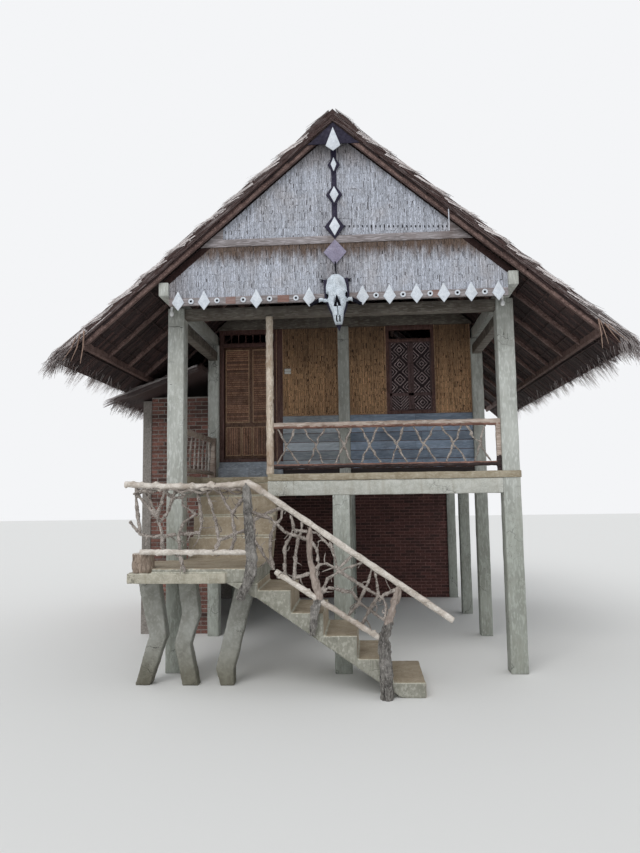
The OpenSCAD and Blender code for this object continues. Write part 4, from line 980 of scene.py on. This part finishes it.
def thatchUnder(side, name, rng):
    # Folded leaves and battens under the slope, brown and darkened further as painted shade
    under = Shape()
    for k in range(underside["rows"]):
        top = 0.05 + k * underside["pitch"]
        last = top + underside["lap"] > slopeLong
        y = -0.77
        while y < 7.17:
            foot = slopeLong + rng.uniform(-0.03, 0.06) if last else top + underside["lap"]
            wide = rng.uniform(0.035, 0.06)
            drop = rng.uniform(0.092, 0.104)
            points = [slope(side, along, y + across, -deep)
                      for topDeep, footDeep in ((drop, drop + 0.012), (0.088, 0.088))
                      for along, across, deep in ((top, 0, topDeep), (top, wide, topDeep),
                                                  (foot, wide, footDeep), (foot, 0, footDeep))]
            faces = [(0, 1, 2, 3), (2, 1, 5, 6), (3, 2, 6, 7), (0, 3, 7, 4)]
            under.add(points, facing(faces, side < 0), rng.uniform(0.0, 1.0),
                      rng.choice((0.0, 0.5, 1.0)))
            y += wide
    under.done(name + "_leaves_under", "shadedUnderLeaf", "thatch")
    battens = Shape()
    for k in range(underside["battens"]):
        along = underside["firstBatten"] + k * underside["battenPitch"]
        wave = [slope(side, along + 0.006 * math.sin(y * 3 + k), y, -0.112)
                for y in [-0.72 + i * 0.6 for i in range(14)]]
        battens.rod(wave, [0.009] * len(wave), 6, rng.uniform(0.3, 0.6), 0.3)
    battens.done(name + "_battens", "shadedUnderLeaf", "roof_timber")


for side, name in ((-1, "left_roof"), (1, "right_roof")):
    rng = random.Random(thatch["seed"] + side)
    for build in (thatchCourses, thatchStrands, thatchVerge, thatchFringe, thatchUnder):
        build(side, name, rng)
dress("thatchDark", "left_thatch", "right_thatch", "ridge_cap", "annex_roof")

ridgeCover = {"strands": 3000, "seed": 31}
ridge = Shape()
rng = random.Random(ridgeCover["seed"])
for _ in range(ridgeCover["strands"]):
    side = rng.choice((-1, 1))
    y = rng.uniform(-0.8, 7.2)
    start = rng.uniform(0.0, 0.12)
    reach = rng.uniform(0.14, 0.36)
    leaf(ridge, slope(side, start, y, rng.uniform(0.045, 0.056)),
         slope(side, start + reach, y + rng.gauss(0, 0.04), rng.uniform(0.05, 0.066)),
         rng.uniform(0.004, 0.009), 0.0, rng.uniform(0, 1), 0.0 if rng.random() < 0.6 else 0.7)
ridge.done("ridge_strands", "strand", "thatch")

# The lean-to over the annex: strands on top, hanging ends, and strands along both edges
annexThatch = {"strands": 3200, "hanging": 700, "edges": 600, "edge": -3.62, "high": 4.0482,
               "fall": 0.364, "reach": -4.02, "front": 1.78, "back": 6.72}
lean = Shape()


def leanPoint(x, y, lift):
    return Vector((x, y, annexThatch["high"] + annexThatch["fall"] * (x - annexThatch["edge"])
                   + lift))


for _ in range(annexThatch["strands"]):
    x = rng.uniform(-3.72, -2.4)
    y = rng.uniform(annexThatch["front"], annexThatch["back"])
    reach = rng.uniform(0.15, 0.35)
    leaf(lean, leanPoint(x, y, 0.005),
         leanPoint(max(x - reach, annexThatch["reach"]), y + rng.gauss(0, 0.05),
                   rng.uniform(0.02, 0.05)),
         rng.uniform(0.006, 0.013), rng.uniform(0, 0.03), rng.uniform(0, 1),
         0.0 if rng.random() < 0.6 else 0.8)
for _ in range(annexThatch["hanging"]):
    y = rng.uniform(annexThatch["front"], annexThatch["back"])
    p = leanPoint(rng.uniform(-3.84, -3.7), y, rng.uniform(-0.08, 0))
    leaf(lean, p, p + Vector((-rng.uniform(0.04, 0.17), rng.gauss(0, 0.04),
                              -rng.uniform(0.05, 0.22))),
         rng.uniform(0.005, 0.011), 0.0, rng.uniform(0, 1), 0.0 if rng.random() < 0.5 else 0.8)
for _ in range(annexThatch["edges"]):
    x = rng.uniform(-3.8, -2.4)
    y = 1.8 if rng.random() < 0.6 else 6.7
    out = -1 if y < 3 else 1
    lift = rng.uniform(-0.08, 0.03)
    reach = rng.uniform(0.1, 0.35)
    leaf(lean, leanPoint(x, y, lift),
         leanPoint(max(x - reach, annexThatch["reach"]), y + out * rng.uniform(0, 0.05),
                   lift - 0.01),
         rng.uniform(0.006, 0.013), 0.01, rng.uniform(0, 1), 0.0 if lift > 0 else 0.8)
lean.done("annex_strands", "strand", "thatch")

# Bare stalks hang from the edge near the corners
stalks = Shape()
for x0, z0, x1, z1, thick in (
        (-3.26, 4.47, -3.295, 4.04, 0.012), (-3.31, 4.43, -3.42, 4.07, 0.009),
        (-3.36, 4.40, -3.53, 4.08, 0.008), (3.23, 4.42, 3.255, 4.05, 0.010),
        (3.25, 4.40, 3.33, 4.10, 0.007), (3.30, 4.37, 3.47, 4.11, 0.008),
        (3.34, 4.35, 3.58, 4.12, 0.008)):
    middle = ((x0 * 0.6 + x1 * 0.4) + 0.01, -0.812, (z0 + z1) / 2)
    stalks.rod([(x0, -0.80, z0), middle, (x1, -0.815, z1)], [thick, thick * 0.8, thick * 0.4], 6)
stalks.done("eave_stalks", "stalk", "thatch", smooth=60)
print("stage: thatch")


# Reed work: a reed stands a little proud of the panel behind it

def reedField(shape, left, right, foot, head, place, flecksAndShadeAt, wide, proud, weave):
    rng, x = craftRng, left
    while x < right - wide * 0.4:
        own = min(wide * rng.uniform(0.7, 1.35), right - x)
        low, high = foot(x + own / 2), head(x + own / 2)
        if high - low < 0.03:
            x += own
            continue
        heights = [low, high]
        wave = 0.018 * noise.noise(Vector((x * 2.3, low, 0.7)))
        line = math.ceil(low / weave) * weave + wave
        while line < high - 0.02:
            if line > low + 0.02:
                heights += [line - 0.006, line + 0.006]
                if rng.random() < 0.6:
                    heights.append(line + rng.uniform(0.03, weave - 0.03))
            line += weave
        heights = sorted(h for h in heights if h <= high)
        rows = len(heights)
        tone, cut = rng.uniform(0.3, 0.7), rng.random()
        lean = rng.uniform(-0.002, 0.002)
        full = own * rng.choice((0.97, 0.95, 0.86))
        base = len(shape.points)
        for i, z in enumerate(heights):
            d = proud * (0.45 if (i + int(cut * 2)) % 2 else 1.0) * rng.uniform(0.85, 1.15)
            w = lean * math.sin(i * 0.8 + cut * 6)
            shape.points += [place(x + w, z, 0.0), place(x + full * 0.25 + w, z, d),
                             place(x + full * 0.75 + w, z, d), place(x + full + w, z, 0.0)]
        for i in range(rows - 1):
            b = base + i * 4
            tall = heights[i + 1] - heights[i]
            z = (heights[i] + heights[i + 1]) / 2
            shape.faces += [(b + j, b + j + 1, b + 5 + j, b + 4 + j) for j in range(3)]
            shape.tones += [min(1.0, max(0.0, tone + rng.uniform(-0.25, 0.25)))] * 3
            shape.worn += [flecksAndShadeAt(z, tall)] * 3
        x += own


def level(z):
    # A straight edge, where the others follow the roof
    return lambda x: z


craftRng = random.Random(11)
gable = {"inside": 7.0906, "foot": 4.90, "split": 5.57, "upperFoot": 5.67, "half": 2.25,
         "upperHalf": 1.65, "corner": 2.29, "flecks": 0.05, "lines": 0.14, "edge": 0.11}
frontMats = {"wide": 0.0098, "proud": 0.006, "weave": 0.1}
backMats = {"wide": 0.0098 * 1.6, "proud": 0.006, "weave": 0.1 * 1.6}


def matTop(x):
    return gable["inside"] - roof["fall"] * abs(x) - 0.004


def lowerFoot(x):
    # The mat is cut round the ends of the eave beams
    return gable["foot"] + (0.025 if abs(x) > 2.186 else 0.0)


def lowerTop(x):
    # The lower mat stops short of the rafters, over a gap filled with painted shadow
    return min(gable["split"], matTop(x) - gable["edge"])


def flecks(z, tall):
    # Dark flecks, most of them along the lines of the weave
    often = gable["lines"] if tall < 0.02 else gable["flecks"] if tall < 0.09 else 0.0
    return craftRng.uniform(0.3, 0.95) if craftRng.random() < often else 0.0


def matField(name, y, out, mats):
    # The lower and the upper mat of a gable, and a dark sheet of painted shadow in the gap beside
    # the lower one
    mat = Shape()

    def place(x, z, d):
        return Vector((-out * x, y + out * d, z))

    reedField(mat, -gable["half"], gable["half"], lowerFoot, lowerTop, place, flecks, **mats)
    reedField(mat, -gable["upperHalf"], gable["upperHalf"], level(gable["upperFoot"]), matTop,
              place, flecks, **mats)
    mat.done(name, "matReed", "reed_mat")
    # A dark sheet of painted shadow fills the gap
    dark = Shape()
    reach = (gable["inside"] - gable["split"] - 0.004) / roof["fall"]
    corners = ((reach - gable["edge"] / roof["fall"], gable["split"]),
               (gable["corner"], matTop(gable["corner"]) - gable["edge"]),
               (gable["corner"], matTop(gable["corner"])), (reach, gable["split"]))
    for side in (-1, 1):
        points = [Vector((side * x, y + out * d, z)) for d in (0, 0.003) for x, z in corners]
        faces = [(4, 5, 6, 7), (0, 1, 5, 4), (1, 2, 6, 5), (2, 3, 7, 6), (3, 0, 4, 7)]
        dark.add(points, facing(faces, side * out < 0))
    dark.done(name + "_gap", "gapShade", "reed_mat")


matField("front_mat_reeds", -0.650, -1, frontMats)
matField("back_mat_reeds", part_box("back_gable_mats")[1].y, 1, backMats)
dress("matGround", "front_gable_mats", "back_gable_mats")


def darkerMatPatches():
    # Browner and darker under the cross board, at the left end, by the spine and at the peak
    tree = finishes["matReed"].node_tree
    color = tree.nodes["Principled BSDF"].inputs["Base Color"]
    clean = color.links[0].from_socket
    x, _, z = partsOf(tree)
    ragged = put(tree, "ShaderNodeTexNoise", {
        "Vector": spaceOf(tree, (7, 7, 1.6)), "Scale": 2.0, "Detail": 5.0, "Roughness": 0.65})
    shake = multiply(tree, calc(tree, "SUBTRACT", ragged.outputs[0], 0.5), 0.5)
    height = calc(tree, "ADD", z, shake)
    under = multiply(tree, band(tree, height, 5.26, 5.54), band(tree, z, 5.57, 5.6, 1.0, 0.0))
    corner = multiply(tree, band(tree, calc(tree, "ADD", x, shake), -1.75, -2.2), 0.55)
    aside = calc(tree, "ADD", calc(tree, "ABSOLUTE", x), shake)
    spine = multiply(tree, band(tree, aside, 0.34, 0.05), band(tree, z, 6.5, 5.2, 0.0, 0.45))
    mask = multiply(tree, band(tree, height, 6.45, 6.8), 0.5)
    for part in (spine, corner, under):
        mask = calc(tree, "MAXIMUM", mask, part)
    tree.links.new(mixColor(tree, mask, clean, rgb(144, 118, 98), "MULTIPLY"), color)


darkerMatPatches()

# Seams and stitches of the mats, board ends over the cross board, patches on the strip
gableFront = -0.656
stitches = {"count": 24, "first": 0.134, "pitch": 0.057, "high": 5.79, "fall": 0.042}
seams, ends, holes, patches = Shape(), Shape(), Shape(), Shape()
for x in (-0.713, 0.715, 1.477):
    seams.box((x - 0.006, gableFront - 0.005, 4.9), (x + 0.006, gableFront, gable["split"]), 0.8)
seams.box((1.452, -0.774, 5.63), (1.466, -0.762, 6.06), 0.7)
for side in (-1, 1):
    corners = [(1.471, 5.67), (1.652, 5.67), (1.471, 5.822)]
    points = [Vector((side * x, y, z)) for y in (gableFront - 0.006, gableFront + 0.006)
              for x, z in corners]
    faces = [(0, 1, 2), (5, 4, 3), (0, 3, 4, 1), (1, 4, 5, 2), (2, 5, 3, 0)]
    ends.add(points, facing(faces, side < 0), 0.5)
for i in range(stitches["count"]):
    x = stitches["first"] + i * stitches["pitch"]
    z = stitches["high"] - stitches["fall"] * (x - stitches["first"])
    holes.box((x - 0.007, -0.659, z - 0.014), (x + 0.007, -0.654, z + 0.014), 0.5, 0.001)
for x, wide, worn in ((-1.37, 0.13, 0.7), (-0.68, 0.15, 0.8), (1.29, 0.12, 0.6)):
    patches.box((x - wide / 2, -0.668, 4.803), (x + wide / 2, -0.664, 4.897), 0.5, 0.001, worn)
seams.done("mat_seams", "matReed", "reed_mat")
ends.done("gable_board_ends", "crossBoard", "beam_timber")
holes.done("mat_stitches", "hollow", "reed_mat")
patches.done("strip_patches", "stripBoard", "beam_timber")


def wallShadeAndFlecks(z, tall):
    # Darker under the beam as painted shade, with short flecks lower down
    dark = 0.62 * min(1.0, max(0.0, (z - 4.25) / 0.9)) * craftRng.uniform(0.85, 1.1)
    often = 0.2 if tall < 0.05 and z < 4.7 else 0.03
    return min(1.0, dark + (craftRng.uniform(0.4, 0.9) if craftRng.random() < often else 0.0))


frontReeds = {"foot": level(3.675), "head": level(5.18), "wide": 0.0125, "proud": 0.007,
              "weave": 0.1}
outerReeds = {"foot": level(2.89), "wide": 0.022, "proud": 0.007, "weave": 0.28}
wall, strips = Shape(), Shape()
for left, right in ((-1.053, -0.095), (0.095, 0.725), (1.545, 2.155)):
    reedField(wall, left + 0.014, right - 0.014, flecksAndShadeAt=wallShadeAndFlecks,
              place=lambda x, z, d: Vector((x, 2.265 - d, z)), **frontReeds)
    strips.box((left, 2.253, 3.66), (right, 2.266, 3.676), 0.7)
    strips.box((left, 2.253, 5.175), (right, 2.266, 5.188), 0.2, 0.003, 0.7)
    strips.box((left, 2.253, 3.66), (left + 0.014, 2.266, 5.188), 0.3)
    strips.box((right - 0.014, 2.253, 3.66), (right, 2.266, 5.188), 0.7)
wall.done("front_wall_reeds", "wallReed", "reed_wall")
strips.done("front_wall_strips", "doorBead", "reed_wall")
plate = Shape()
for low, high in ((4.393, 4.436), (4.441, 4.484)):
    plate.box((-1.018, 2.245, low), (-0.908, 2.262, high), 0.5, 0.004)
plate.done("switch_plate", "plate", "white_paint")

sides = Shape()
for side in (-1, 1):
    for near, far in ((2.395, 4.255), (4.445, 6.305)):
        reedField(sides, near, far, head=level(4.92), flecksAndShadeAt=wallShadeAndFlecks,
                  place=lambda a, z, d: Vector((side * 2.285 + side * d,
                                                far + near - a if side < 0 else a, z)),
                  **outerReeds)
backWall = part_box("back_wall")[1].y
for left, right in ((-2.15, -0.1), (0.1, 2.15)):
    reedField(sides, left, right, head=level(5.18), flecksAndShadeAt=wallShadeAndFlecks,
              place=lambda a, z, d: Vector((-a, backWall + d, z)), **outerReeds)
sides.done("outer_wall_reeds", "outerReed", "reed_wall")
dress("wallGround", "front_reed_wall", "left_wall", "right_wall", "back_wall")
print("stage: reeds")


# Brick work

bricks = {"long": 0.21, "high": 0.055, "joint": 0.014, "end": 0.012, "proud": 0.006}
brickRng = random.Random(21)


def brickField(shape, left, right, head, place):
    # Courses from the ground up, each half a brick along from the one below
    rows = int(head / (bricks["high"] + bricks["joint"]))
    pitch = head / rows
    for k in range(rows):
        z = k * pitch
        x = left - (bricks["long"] / 2 if k % 2 else 0.0)
        while x < right - 0.01:
            a, b = max(x, left), min(x + bricks["long"], right)
            if b - a > 0.03:
                out = bricks["proud"] * brickRng.uniform(0.4, 1.3)
                worn = 0.7 if brickRng.random() < 0.15 else 0.0
                top = z + pitch - bricks["joint"] / 2 + brickRng.uniform(-0.003, 0.002)
                shape.block((a + brickRng.uniform(0, 0.003), z + bricks["joint"] / 2, -0.01),
                            (b, top, out), brickRng.uniform(0.1, 0.9), worn, place)
            x += bricks["long"] + bricks["end"]


# The front, left and back walls of the annex
masonry = Shape()
brickField(masonry, -3.388, -2.348, 4.04, lambda p: Vector((p.x, 2.42 - p.z, p.y)))
brickField(masonry, 2.552, 6.395, 4.0, lambda p: Vector((-3.52 - p.z, 8.947 - p.x, p.y)))
brickField(masonry, -3.515, -2.348, 4.0, lambda p: Vector((-5.863 - p.x, 6.4 + p.z, p.y)))
masonry.done("annex_bricks", "brick", "brick")
# Both sides of the wall under the back of the room
masonry = Shape()
for left, right in ((-2.153, -0.097), (0.097, 2.153)):
    brickField(masonry, left, right, 2.305, lambda p: Vector((p.x, 6.345 - p.z, p.y)))
    brickField(masonry, left, right, 2.305, lambda p: Vector((-p.x, 6.455 + p.z, p.y)))
masonry.done("under_wall_bricks", "underBrick", "brick")
dress("mortar", "annex_walls")
dress("underMortar", "under_wall")
print("stage: bricks")


# Boards of the dado

dado = {"foot": 2.6, "head": 3.66, "pitch": 0.145, "gap": 0.009}
boards = Shape()
count = round((dado["head"] - dado["foot"]) / dado["pitch"])
pitch = (dado["head"] - dado["foot"]) / count
for left, right in ((-1.053, -0.095), (0.095, 2.155)):
    for k in range(count):
        z = dado["foot"] + k * pitch
        splits = [left, right] if right - left < 1.2 else [left, left + 1.1 + 0.1 * (k % 3), right]
        for a, b in zip(splits, splits[1:]):
            # Every other board is paler, and the lowest one is bare and dark
            tone = (0.62 if k % 2 else 0.34) + craftRng.uniform(-0.12, 0.12)
            boards.box((a + 0.001, 2.241, z + dado["gap"] / 2),
                       (b - 0.001, 2.262, z + pitch - dado["gap"] / 2), tone, 0.003,
                       0.0 if k else 1.0)
made = boards.done("dado_boards", "dadoBoard", "dado_board")
made.data.materials.append(finishes["dadoBlue"])  # The right bay is bluer
for polygon in made.data.polygons:
    polygon.material_index = int(polygon.center.x > 0)
dress("frameWood", "front_dado")
print("stage: dado")


# Door leaf: two columns of panels with slats, framed by pale beads

door = {"slat": 0.027, "pitch": 0.037, "bead": 0.016, "face": 2.3145, "front": 2.306,
        "beadFront": 2.301, "upper": (3.57, 4.85), "lower": (3.0, 3.50)}
slats, beads = Shape(), Shape()


def slatRow(a, b, span, upright):
    # Slats run across the upper panels and stand in the lower ones
    low, high = span
    start, stop = (a, b) if upright else (low, high)
    count = int((stop - start - door["bead"] * 2) / door["pitch"])
    gap = (stop - start - door["bead"] * 2) / count
    for k in range(count):
        p = start + door["bead"] + (k + 0.5) * gap
        near, far = p - door["slat"] / 2, p + door["slat"] / 2 + craftRng.uniform(-0.004, 0.003)
        tone, worn = craftRng.uniform(0.2, 0.8), 0.5 if craftRng.random() < 0.12 else 0.0
        deep = door["front"] - craftRng.uniform(0, 0.003)
        if upright:
            slats.box((near, deep, low + 0.01), (far, door["face"], high - 0.01), tone, worn=worn)
        else:
            slats.box((a + 0.01, deep, near), (b - 0.01, door["face"], far), tone, worn=worn)
    for x0, x1, z0, z1 in ((a, b, low, low + door["bead"]), (a, b, high - door["bead"], high),
                           (a, a + door["bead"], low, high), (b - door["bead"], b, low, high)):
        beads.box((x0, door["beadFront"], z0), (x1, door["face"], z1), craftRng.uniform(0.3, 0.6))


slatRow(-2.052, -1.639, door["upper"], False)
slatRow(-1.583, -1.225, door["upper"], False)
for a, b in ((-2.052, -1.78), (-1.77, -1.592), (-1.582, -1.225)):
    slatRow(a, b, door["lower"], True)
slats.done("door_slats", "doorWood", "door_wood", "door")
beads.done("door_beads", "doorBead", "door_wood", "door")
leafWear = {"step": 0.3, "edge": 0.003, "amount": 0.0006, "scale": 4.0}
weathered("door_leaf", "doorWood", "door_wood", body="door", **leafWear)
jamb = Shape()
jamb.box((-1.163, 2.254, 2.62), (-1.155, 2.2655, 5.18), 0.6, 0.002)
jamb.done("jamb_line", "doorBead", "frame_wood")


# Window leaves: a column of nested diamonds over a lower panel

window = {"strip": 0.017, "deep": 0.009, "back": 2.272, "rings": (0.098, 0.043),
          "foot": 3.715, "head": 4.90}
lattice, rails = Shape(), Shape()


def latticeStrip(a, b, panel):
    # One strip, cut off at the edges of its panel
    tone = craftRng.uniform(0.1, 0.9)
    (x0, z0), (x1, z1) = a, b
    low, high = 0.0, 1.0
    for start, move, lowest, highest in ((x0, x1 - x0, panel[0], panel[1]),
                                         (z0, z1 - z0, panel[2], panel[3])):
        if abs(move) < 1e-9:
            if start < lowest or start > highest:
                return
            continue
        s, t = sorted(((lowest - start) / move, (highest - start) / move))
        low, high = max(low, s), min(high, t)
    if high - low < 1e-3:
        return
    ends = [(x0 + (x1 - x0) * share, window["back"], z0 + (z1 - z0) * share)
            for share in (low, high)]
    lattice.rod(ends, [window["strip"] / 2] * 2, 4, tone, 0.0,
                window["deep"] / window["strip"] * 2, (0, 1, 0))


def nested(x, z, panel):
    # Two diamonds, one inside the other
    for r in window["rings"]:
        ring = [(x - r * 0.95, z), (x, z + r), (x + r * 0.95, z), (x, z - r)]
        for i in range(4):
            latticeStrip(ring[i], ring[(i + 1) % 4], panel)


for left, right, inner, centres in (
        (0.78, 1.134, (0.82, 1.093), (4.766, 4.51, 4.249, 3.99)),
        (1.136, 1.49, (1.194, 1.464), (4.787, 4.519, 4.265, 4.005))):
    mid = sum(inner) / 2
    panel = (inner[0], inner[1], 4.02, 4.88)
    for z in centres:
        nested(mid, z, panel)
    for z in (4.9, 4.647, 4.385, 4.12):
        for x in inner:
            nested(x, z, panel)
    lower = (inner[0], inner[1], 3.735, 3.967)
    if left < 1:
        # Chevrons in one leaf, diamonds in the other
        for k in range(-4, 6):
            for x in inner:
                latticeStrip((mid, 3.735 + k * 0.05), (x, 3.875 + k * 0.05), lower)
    else:
        for x, z in [(mid, 3.851)] + [(x, z) for x in inner for z in (3.735, 3.967)]:
            nested(x, z, lower)
    for x0, x1, z0, z1 in ((left, inner[0], window["foot"], window["head"]),
                           (inner[1], right, window["foot"], window["head"]),
                           (left, right, 4.88, window["head"]), (left, right, 3.967, 4.02),
                           (left, right, window["foot"], 3.735)):
        rails.box((x0, 2.264, z0), (x1, 2.276, z1), craftRng.uniform(0.3, 0.6))
lattice.done("window_lattice", "lattice", "window_wood")
rails.done("window_rails", "windowWood", "window_wood")
dress("windowPanel", "window_leaves")
print("stage: door and window")


# Ornament

skull = {"high": 5.125, "tall": 0.65, "tilt": 3, "front": -0.809, "back": -0.679}
skullWidths = ((0, 0.07), (0.09, 0.165), (0.24, 0.2), (0.38, 0.207), (0.6, 0.165), (0.76, 0.11),
               (0.92, 0.09), (1, 0.065))  # Half the width at each share of the height


def skullPlace(p):
    # Across and down from the top of the skull, as shares of its height
    turn = math.radians(skull["tilt"])
    x, down = p.x, skull["high"] - p.z
    return ((x * math.cos(turn) - down * math.sin(turn)) / skull["tall"],
            (x * math.sin(turn) + down * math.cos(turn)) / skull["tall"])


def isHorn(p):
    return abs(p.x) > 0.16 and 4.62 < p.z < 4.83 and p.y < skull["back"] - 0.03


def halfWidth(down):
    for (a, wa), (b, wb) in zip(skullWidths, skullWidths[1:]):
        if down <= b:
            return wa + (wb - wa) * max(0.0, down - a) / (b - a)
    return skullWidths[-1][1]


# Place, half sizes and depth of the eyes, the nose, the nostrils, the muzzle and the seam
skullHollows = ((0.185, 0.42, 0.045, 0.07, 0.05), (0.035, 0.575, 0.035, 0.11, 0.05),
                (0.033, 0.91, 0.018, 0.07, 0.035), (0.0, 0.77, 0.008, 0.12, 0.012),
                (0.0, 0.26, 0.008, 0.24, 0.006))


def skullShape(bm):
    # A domed brow that narrows to the muzzle
    for v in bm.verts:
        if isHorn(v.co) or v.co.y > skull["back"] - 0.004:
            continue
        across, down = skullPlace(v.co)
        side = abs(across)
        edge = min(1.0, side / max(0.03, halfWidth(down)))
        dome = (1 - edge ** 2.2) * (1.0 if down < 0.45 else 0.9)
        end = min(1.0, max(0.0, down / 0.12)) ** 0.5 * min(1.0, max(0.0, (1.02 - down) / 0.10))
        share = (skull["back"] - v.co.y) / (skull["back"] - skull["front"])
        full = 0.45 + 0.55 * dome * end
        v.co.y = skull["back"] - share * full * (skull["back"] - skull["front"])
        if share > 0.4:
            for cx, cd, rx, rd, deep in skullHollows:
                away = ((side - cx) / rx) ** 2 + ((down - cd) / rd) ** 2
                if away < 1:
                    v.co.y += deep * (1 - away)


def skullFace(face):
    p = face.calc_center_median()
    across, down = skullPlace(p)
    side = abs(across)
    if isHorn(p):
        return 1 if abs(p.x) > 0.213 else 0
    if p.y > skull["back"] - 0.006:
        return 2
    nose = 0.45 < down < 0.67 and \
        side < 0.07 * ((down - 0.44) / 0.2) ** 0.8 and (side > 0.006 or down < 0.6)
    slit = 0.85 < down < 0.97 and 0.018 < side < 0.042 or 0.66 < down < 0.9 and side < 0.006
    eye = ((side - 0.195) / 0.03) ** 2 + ((down - 0.42) / 0.05) ** 2 < 1
    return 1 if nose or slit or eye else 0


boneSkin = {"cell": 0.005, "amount": 0.003, "scale": 16.0, "angle": 60}
grown("cattle_skull", "bone", "bone", shape=skullShape, pick=skullFace,
      others=("hollow", "darkPaint"), **boneSkin)
# The dark hanger above the skull, and the ties at its sides
hanger = Shape()
hanger.rod([(0.0, -0.683, 5.31), (0.004, -0.690, 5.2), (0.012, -0.70, 5.11)], [0.009] * 3, 6)
for x, out in ((-0.16, -1), (0.165, 1)):
    for i in range(3):
        hanger.rod([(x, -0.681, 5.07 - i * 0.012), (x + out * 0.045, -0.684, 5.085 - i * 0.02)],
                   [0.009, 0.003], 5)
hanger.done("skull_hanger", "hollow", "dark_paint")

cutBoards = {"step": 0.2, "edge": 0.003, "amount": 0.0012, "scale": 9.0}
weathered("kite_row", "whitePaint", "white_paint", **cutBoards)
painted = weathered("spine_ornament", "darkPaint", "dark_paint", **cutBoards)
painted.data.materials.append(finishes["mauvePaint"])
for v in painted.data.vertices:
    # The boards of the spine stand out a little past the diamonds
    if 5.26 < v.co.z < 6.87 and abs(v.co.x) < 0.15:
        v.co.x *= 1.14
    if 5.26 < v.co.z < 5.61 and abs(v.co.x) < 0.17:
        v.co.z = 5.435 + (v.co.z - 5.435) * 1.06
for polygon in painted.data.polygons:
    p = polygon.center
    if 5.24 < p.z < 5.625 and abs(p.x) < 0.17:
        polygon.material_index = 1
# Dark middles of the rings on the strip, with none behind the skull
ringRow = {"places": (0, 1, 2, 3, 4, 7, 8, 9, 10, 11), "pitch": 0.344, "z": 4.85,
           "radius": 0.0175}
rings = Shape()
for i in ringRow["places"]:
    x = (i + 0.5 - 6) * ringRow["pitch"]
    rings.rod([(x, y, ringRow["z"]) for y in (-0.6665, -0.660)], [ringRow["radius"]] * 2, 16,
              up=(0, 0, 1))
rings.done("ring_centres", "hollow", "dark_paint")

# Height and radius of a lamp, from its tip to its neck
lampProfile = ((4.795, 0.010), (4.800, 0.020), (4.815, 0.029), (4.838, 0.029), (4.857, 0.022),
               (4.868, 0.016), (4.880, 0.0155), (4.925, 0.0155))
lamps = Shape()
for side in (-1, 1):
    lamps.rod([(side * 2.25 - 0.04, -0.1845, z) for z, _ in lampProfile],
              [radius for _, radius in lampProfile], 18)
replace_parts(lamps.done("lamp_shapes", "lampGlass", "lamp_glass", smooth=50), "lamp_bulbs")
dress("hingeSteel", "door_hinges")
print("stage: ornament")


# Stage, light and camera

def stageFloor():
    mesh = bpy.data.meshes.new("stage_floor")
    reach = 60
    mesh.from_pydata([(-reach, -reach, 0), (reach, -reach, 0), (reach, reach, 0),
                      (-reach, reach, 0)], [], [(0, 1, 2, 3)])
    floor = bpy.data.objects.new("stage_floor", mesh)
    bpy.context.scene.collection.objects.link(floor)
    material = bpy.data.materials.new("stageFloor")
    material.use_nodes = True
    shader = material.node_tree.nodes["Principled BSDF"]
    shader.inputs["Base Color"].default_value = rgb(222, 222, 220)
    shader.inputs["Roughness"].default_value = 0.95
    shader.inputs["Specular IOR Level"].default_value = 0.1
    mesh.materials.append(material)


stageFloor()

light = {"sky": 0.82, "sun": 1.1, "angle": 35, "tilt": 48, "turn": -20}
view = {"yaw": 0.0652, "pitch": 0.1012, "roll": -0.0144, "lens": 28.27, "sensor": 36,
        "x": 0.3202, "y": -9.0746, "z": 2.3197}
world = bpy.data.worlds.new("sky")
bpy.context.scene.world = world
world.use_nodes = True
tree = world.node_tree
tree.nodes.clear()
seen = put(tree, "ShaderNodeBackground", {0: rgb(244, 245, 247), 1: 1.0})
soft = put(tree, "ShaderNodeBackground", {0: rgb(250, 252, 255), 1: light["sky"]})
rays = put(tree, "ShaderNodeLightPath").outputs
shown = calc(tree, "MAXIMUM", rays["Is Camera Ray"],
             calc(tree, "MAXIMUM", rays["Is Glossy Ray"], rays["Is Transmission Ray"]))
both = put(tree, "ShaderNodeMixShader", {0: shown, 1: soft.outputs[0], 2: seen.outputs[0]})
put(tree, "ShaderNodeOutputWorld", {0: both.outputs[0]})
sun = bpy.data.lights.new("sun", "SUN")
sun.energy = light["sun"]
sun.angle = math.radians(light["angle"])
sunObject = bpy.data.objects.new("sun", sun)
sunObject.rotation_euler = (math.radians(light["tilt"]), 0, math.radians(light["turn"]))
bpy.context.scene.collection.objects.link(sunObject)

yaw, pitch, roll = view["yaw"], view["pitch"], view["roll"]
ahead = Vector((-math.sin(yaw) * math.cos(pitch), math.cos(yaw) * math.cos(pitch),
                math.sin(pitch)))
across = Vector((math.cos(yaw), math.sin(yaw), 0))
above = across.cross(ahead)
right = math.cos(roll) * across + math.sin(roll) * above
top = -math.sin(roll) * across + math.cos(roll) * above
camera = bpy.data.objects.new("camera", bpy.data.cameras.new("camera"))
camera.data.lens, camera.data.sensor_width = view["lens"], view["sensor"]
camera.data.clip_end = 200
camera.matrix_world = Matrix((
    (right.x, top.x, -ahead.x, view["x"]), (right.y, top.y, -ahead.y, view["y"]),
    (right.z, top.z, -ahead.z, view["z"]), (0, 0, 0, 1)))
bpy.context.scene.collection.objects.link(camera)
bpy.context.scene.camera = camera
bpy.context.scene.view_settings.view_transform = "Standard"
print("stage: camera")
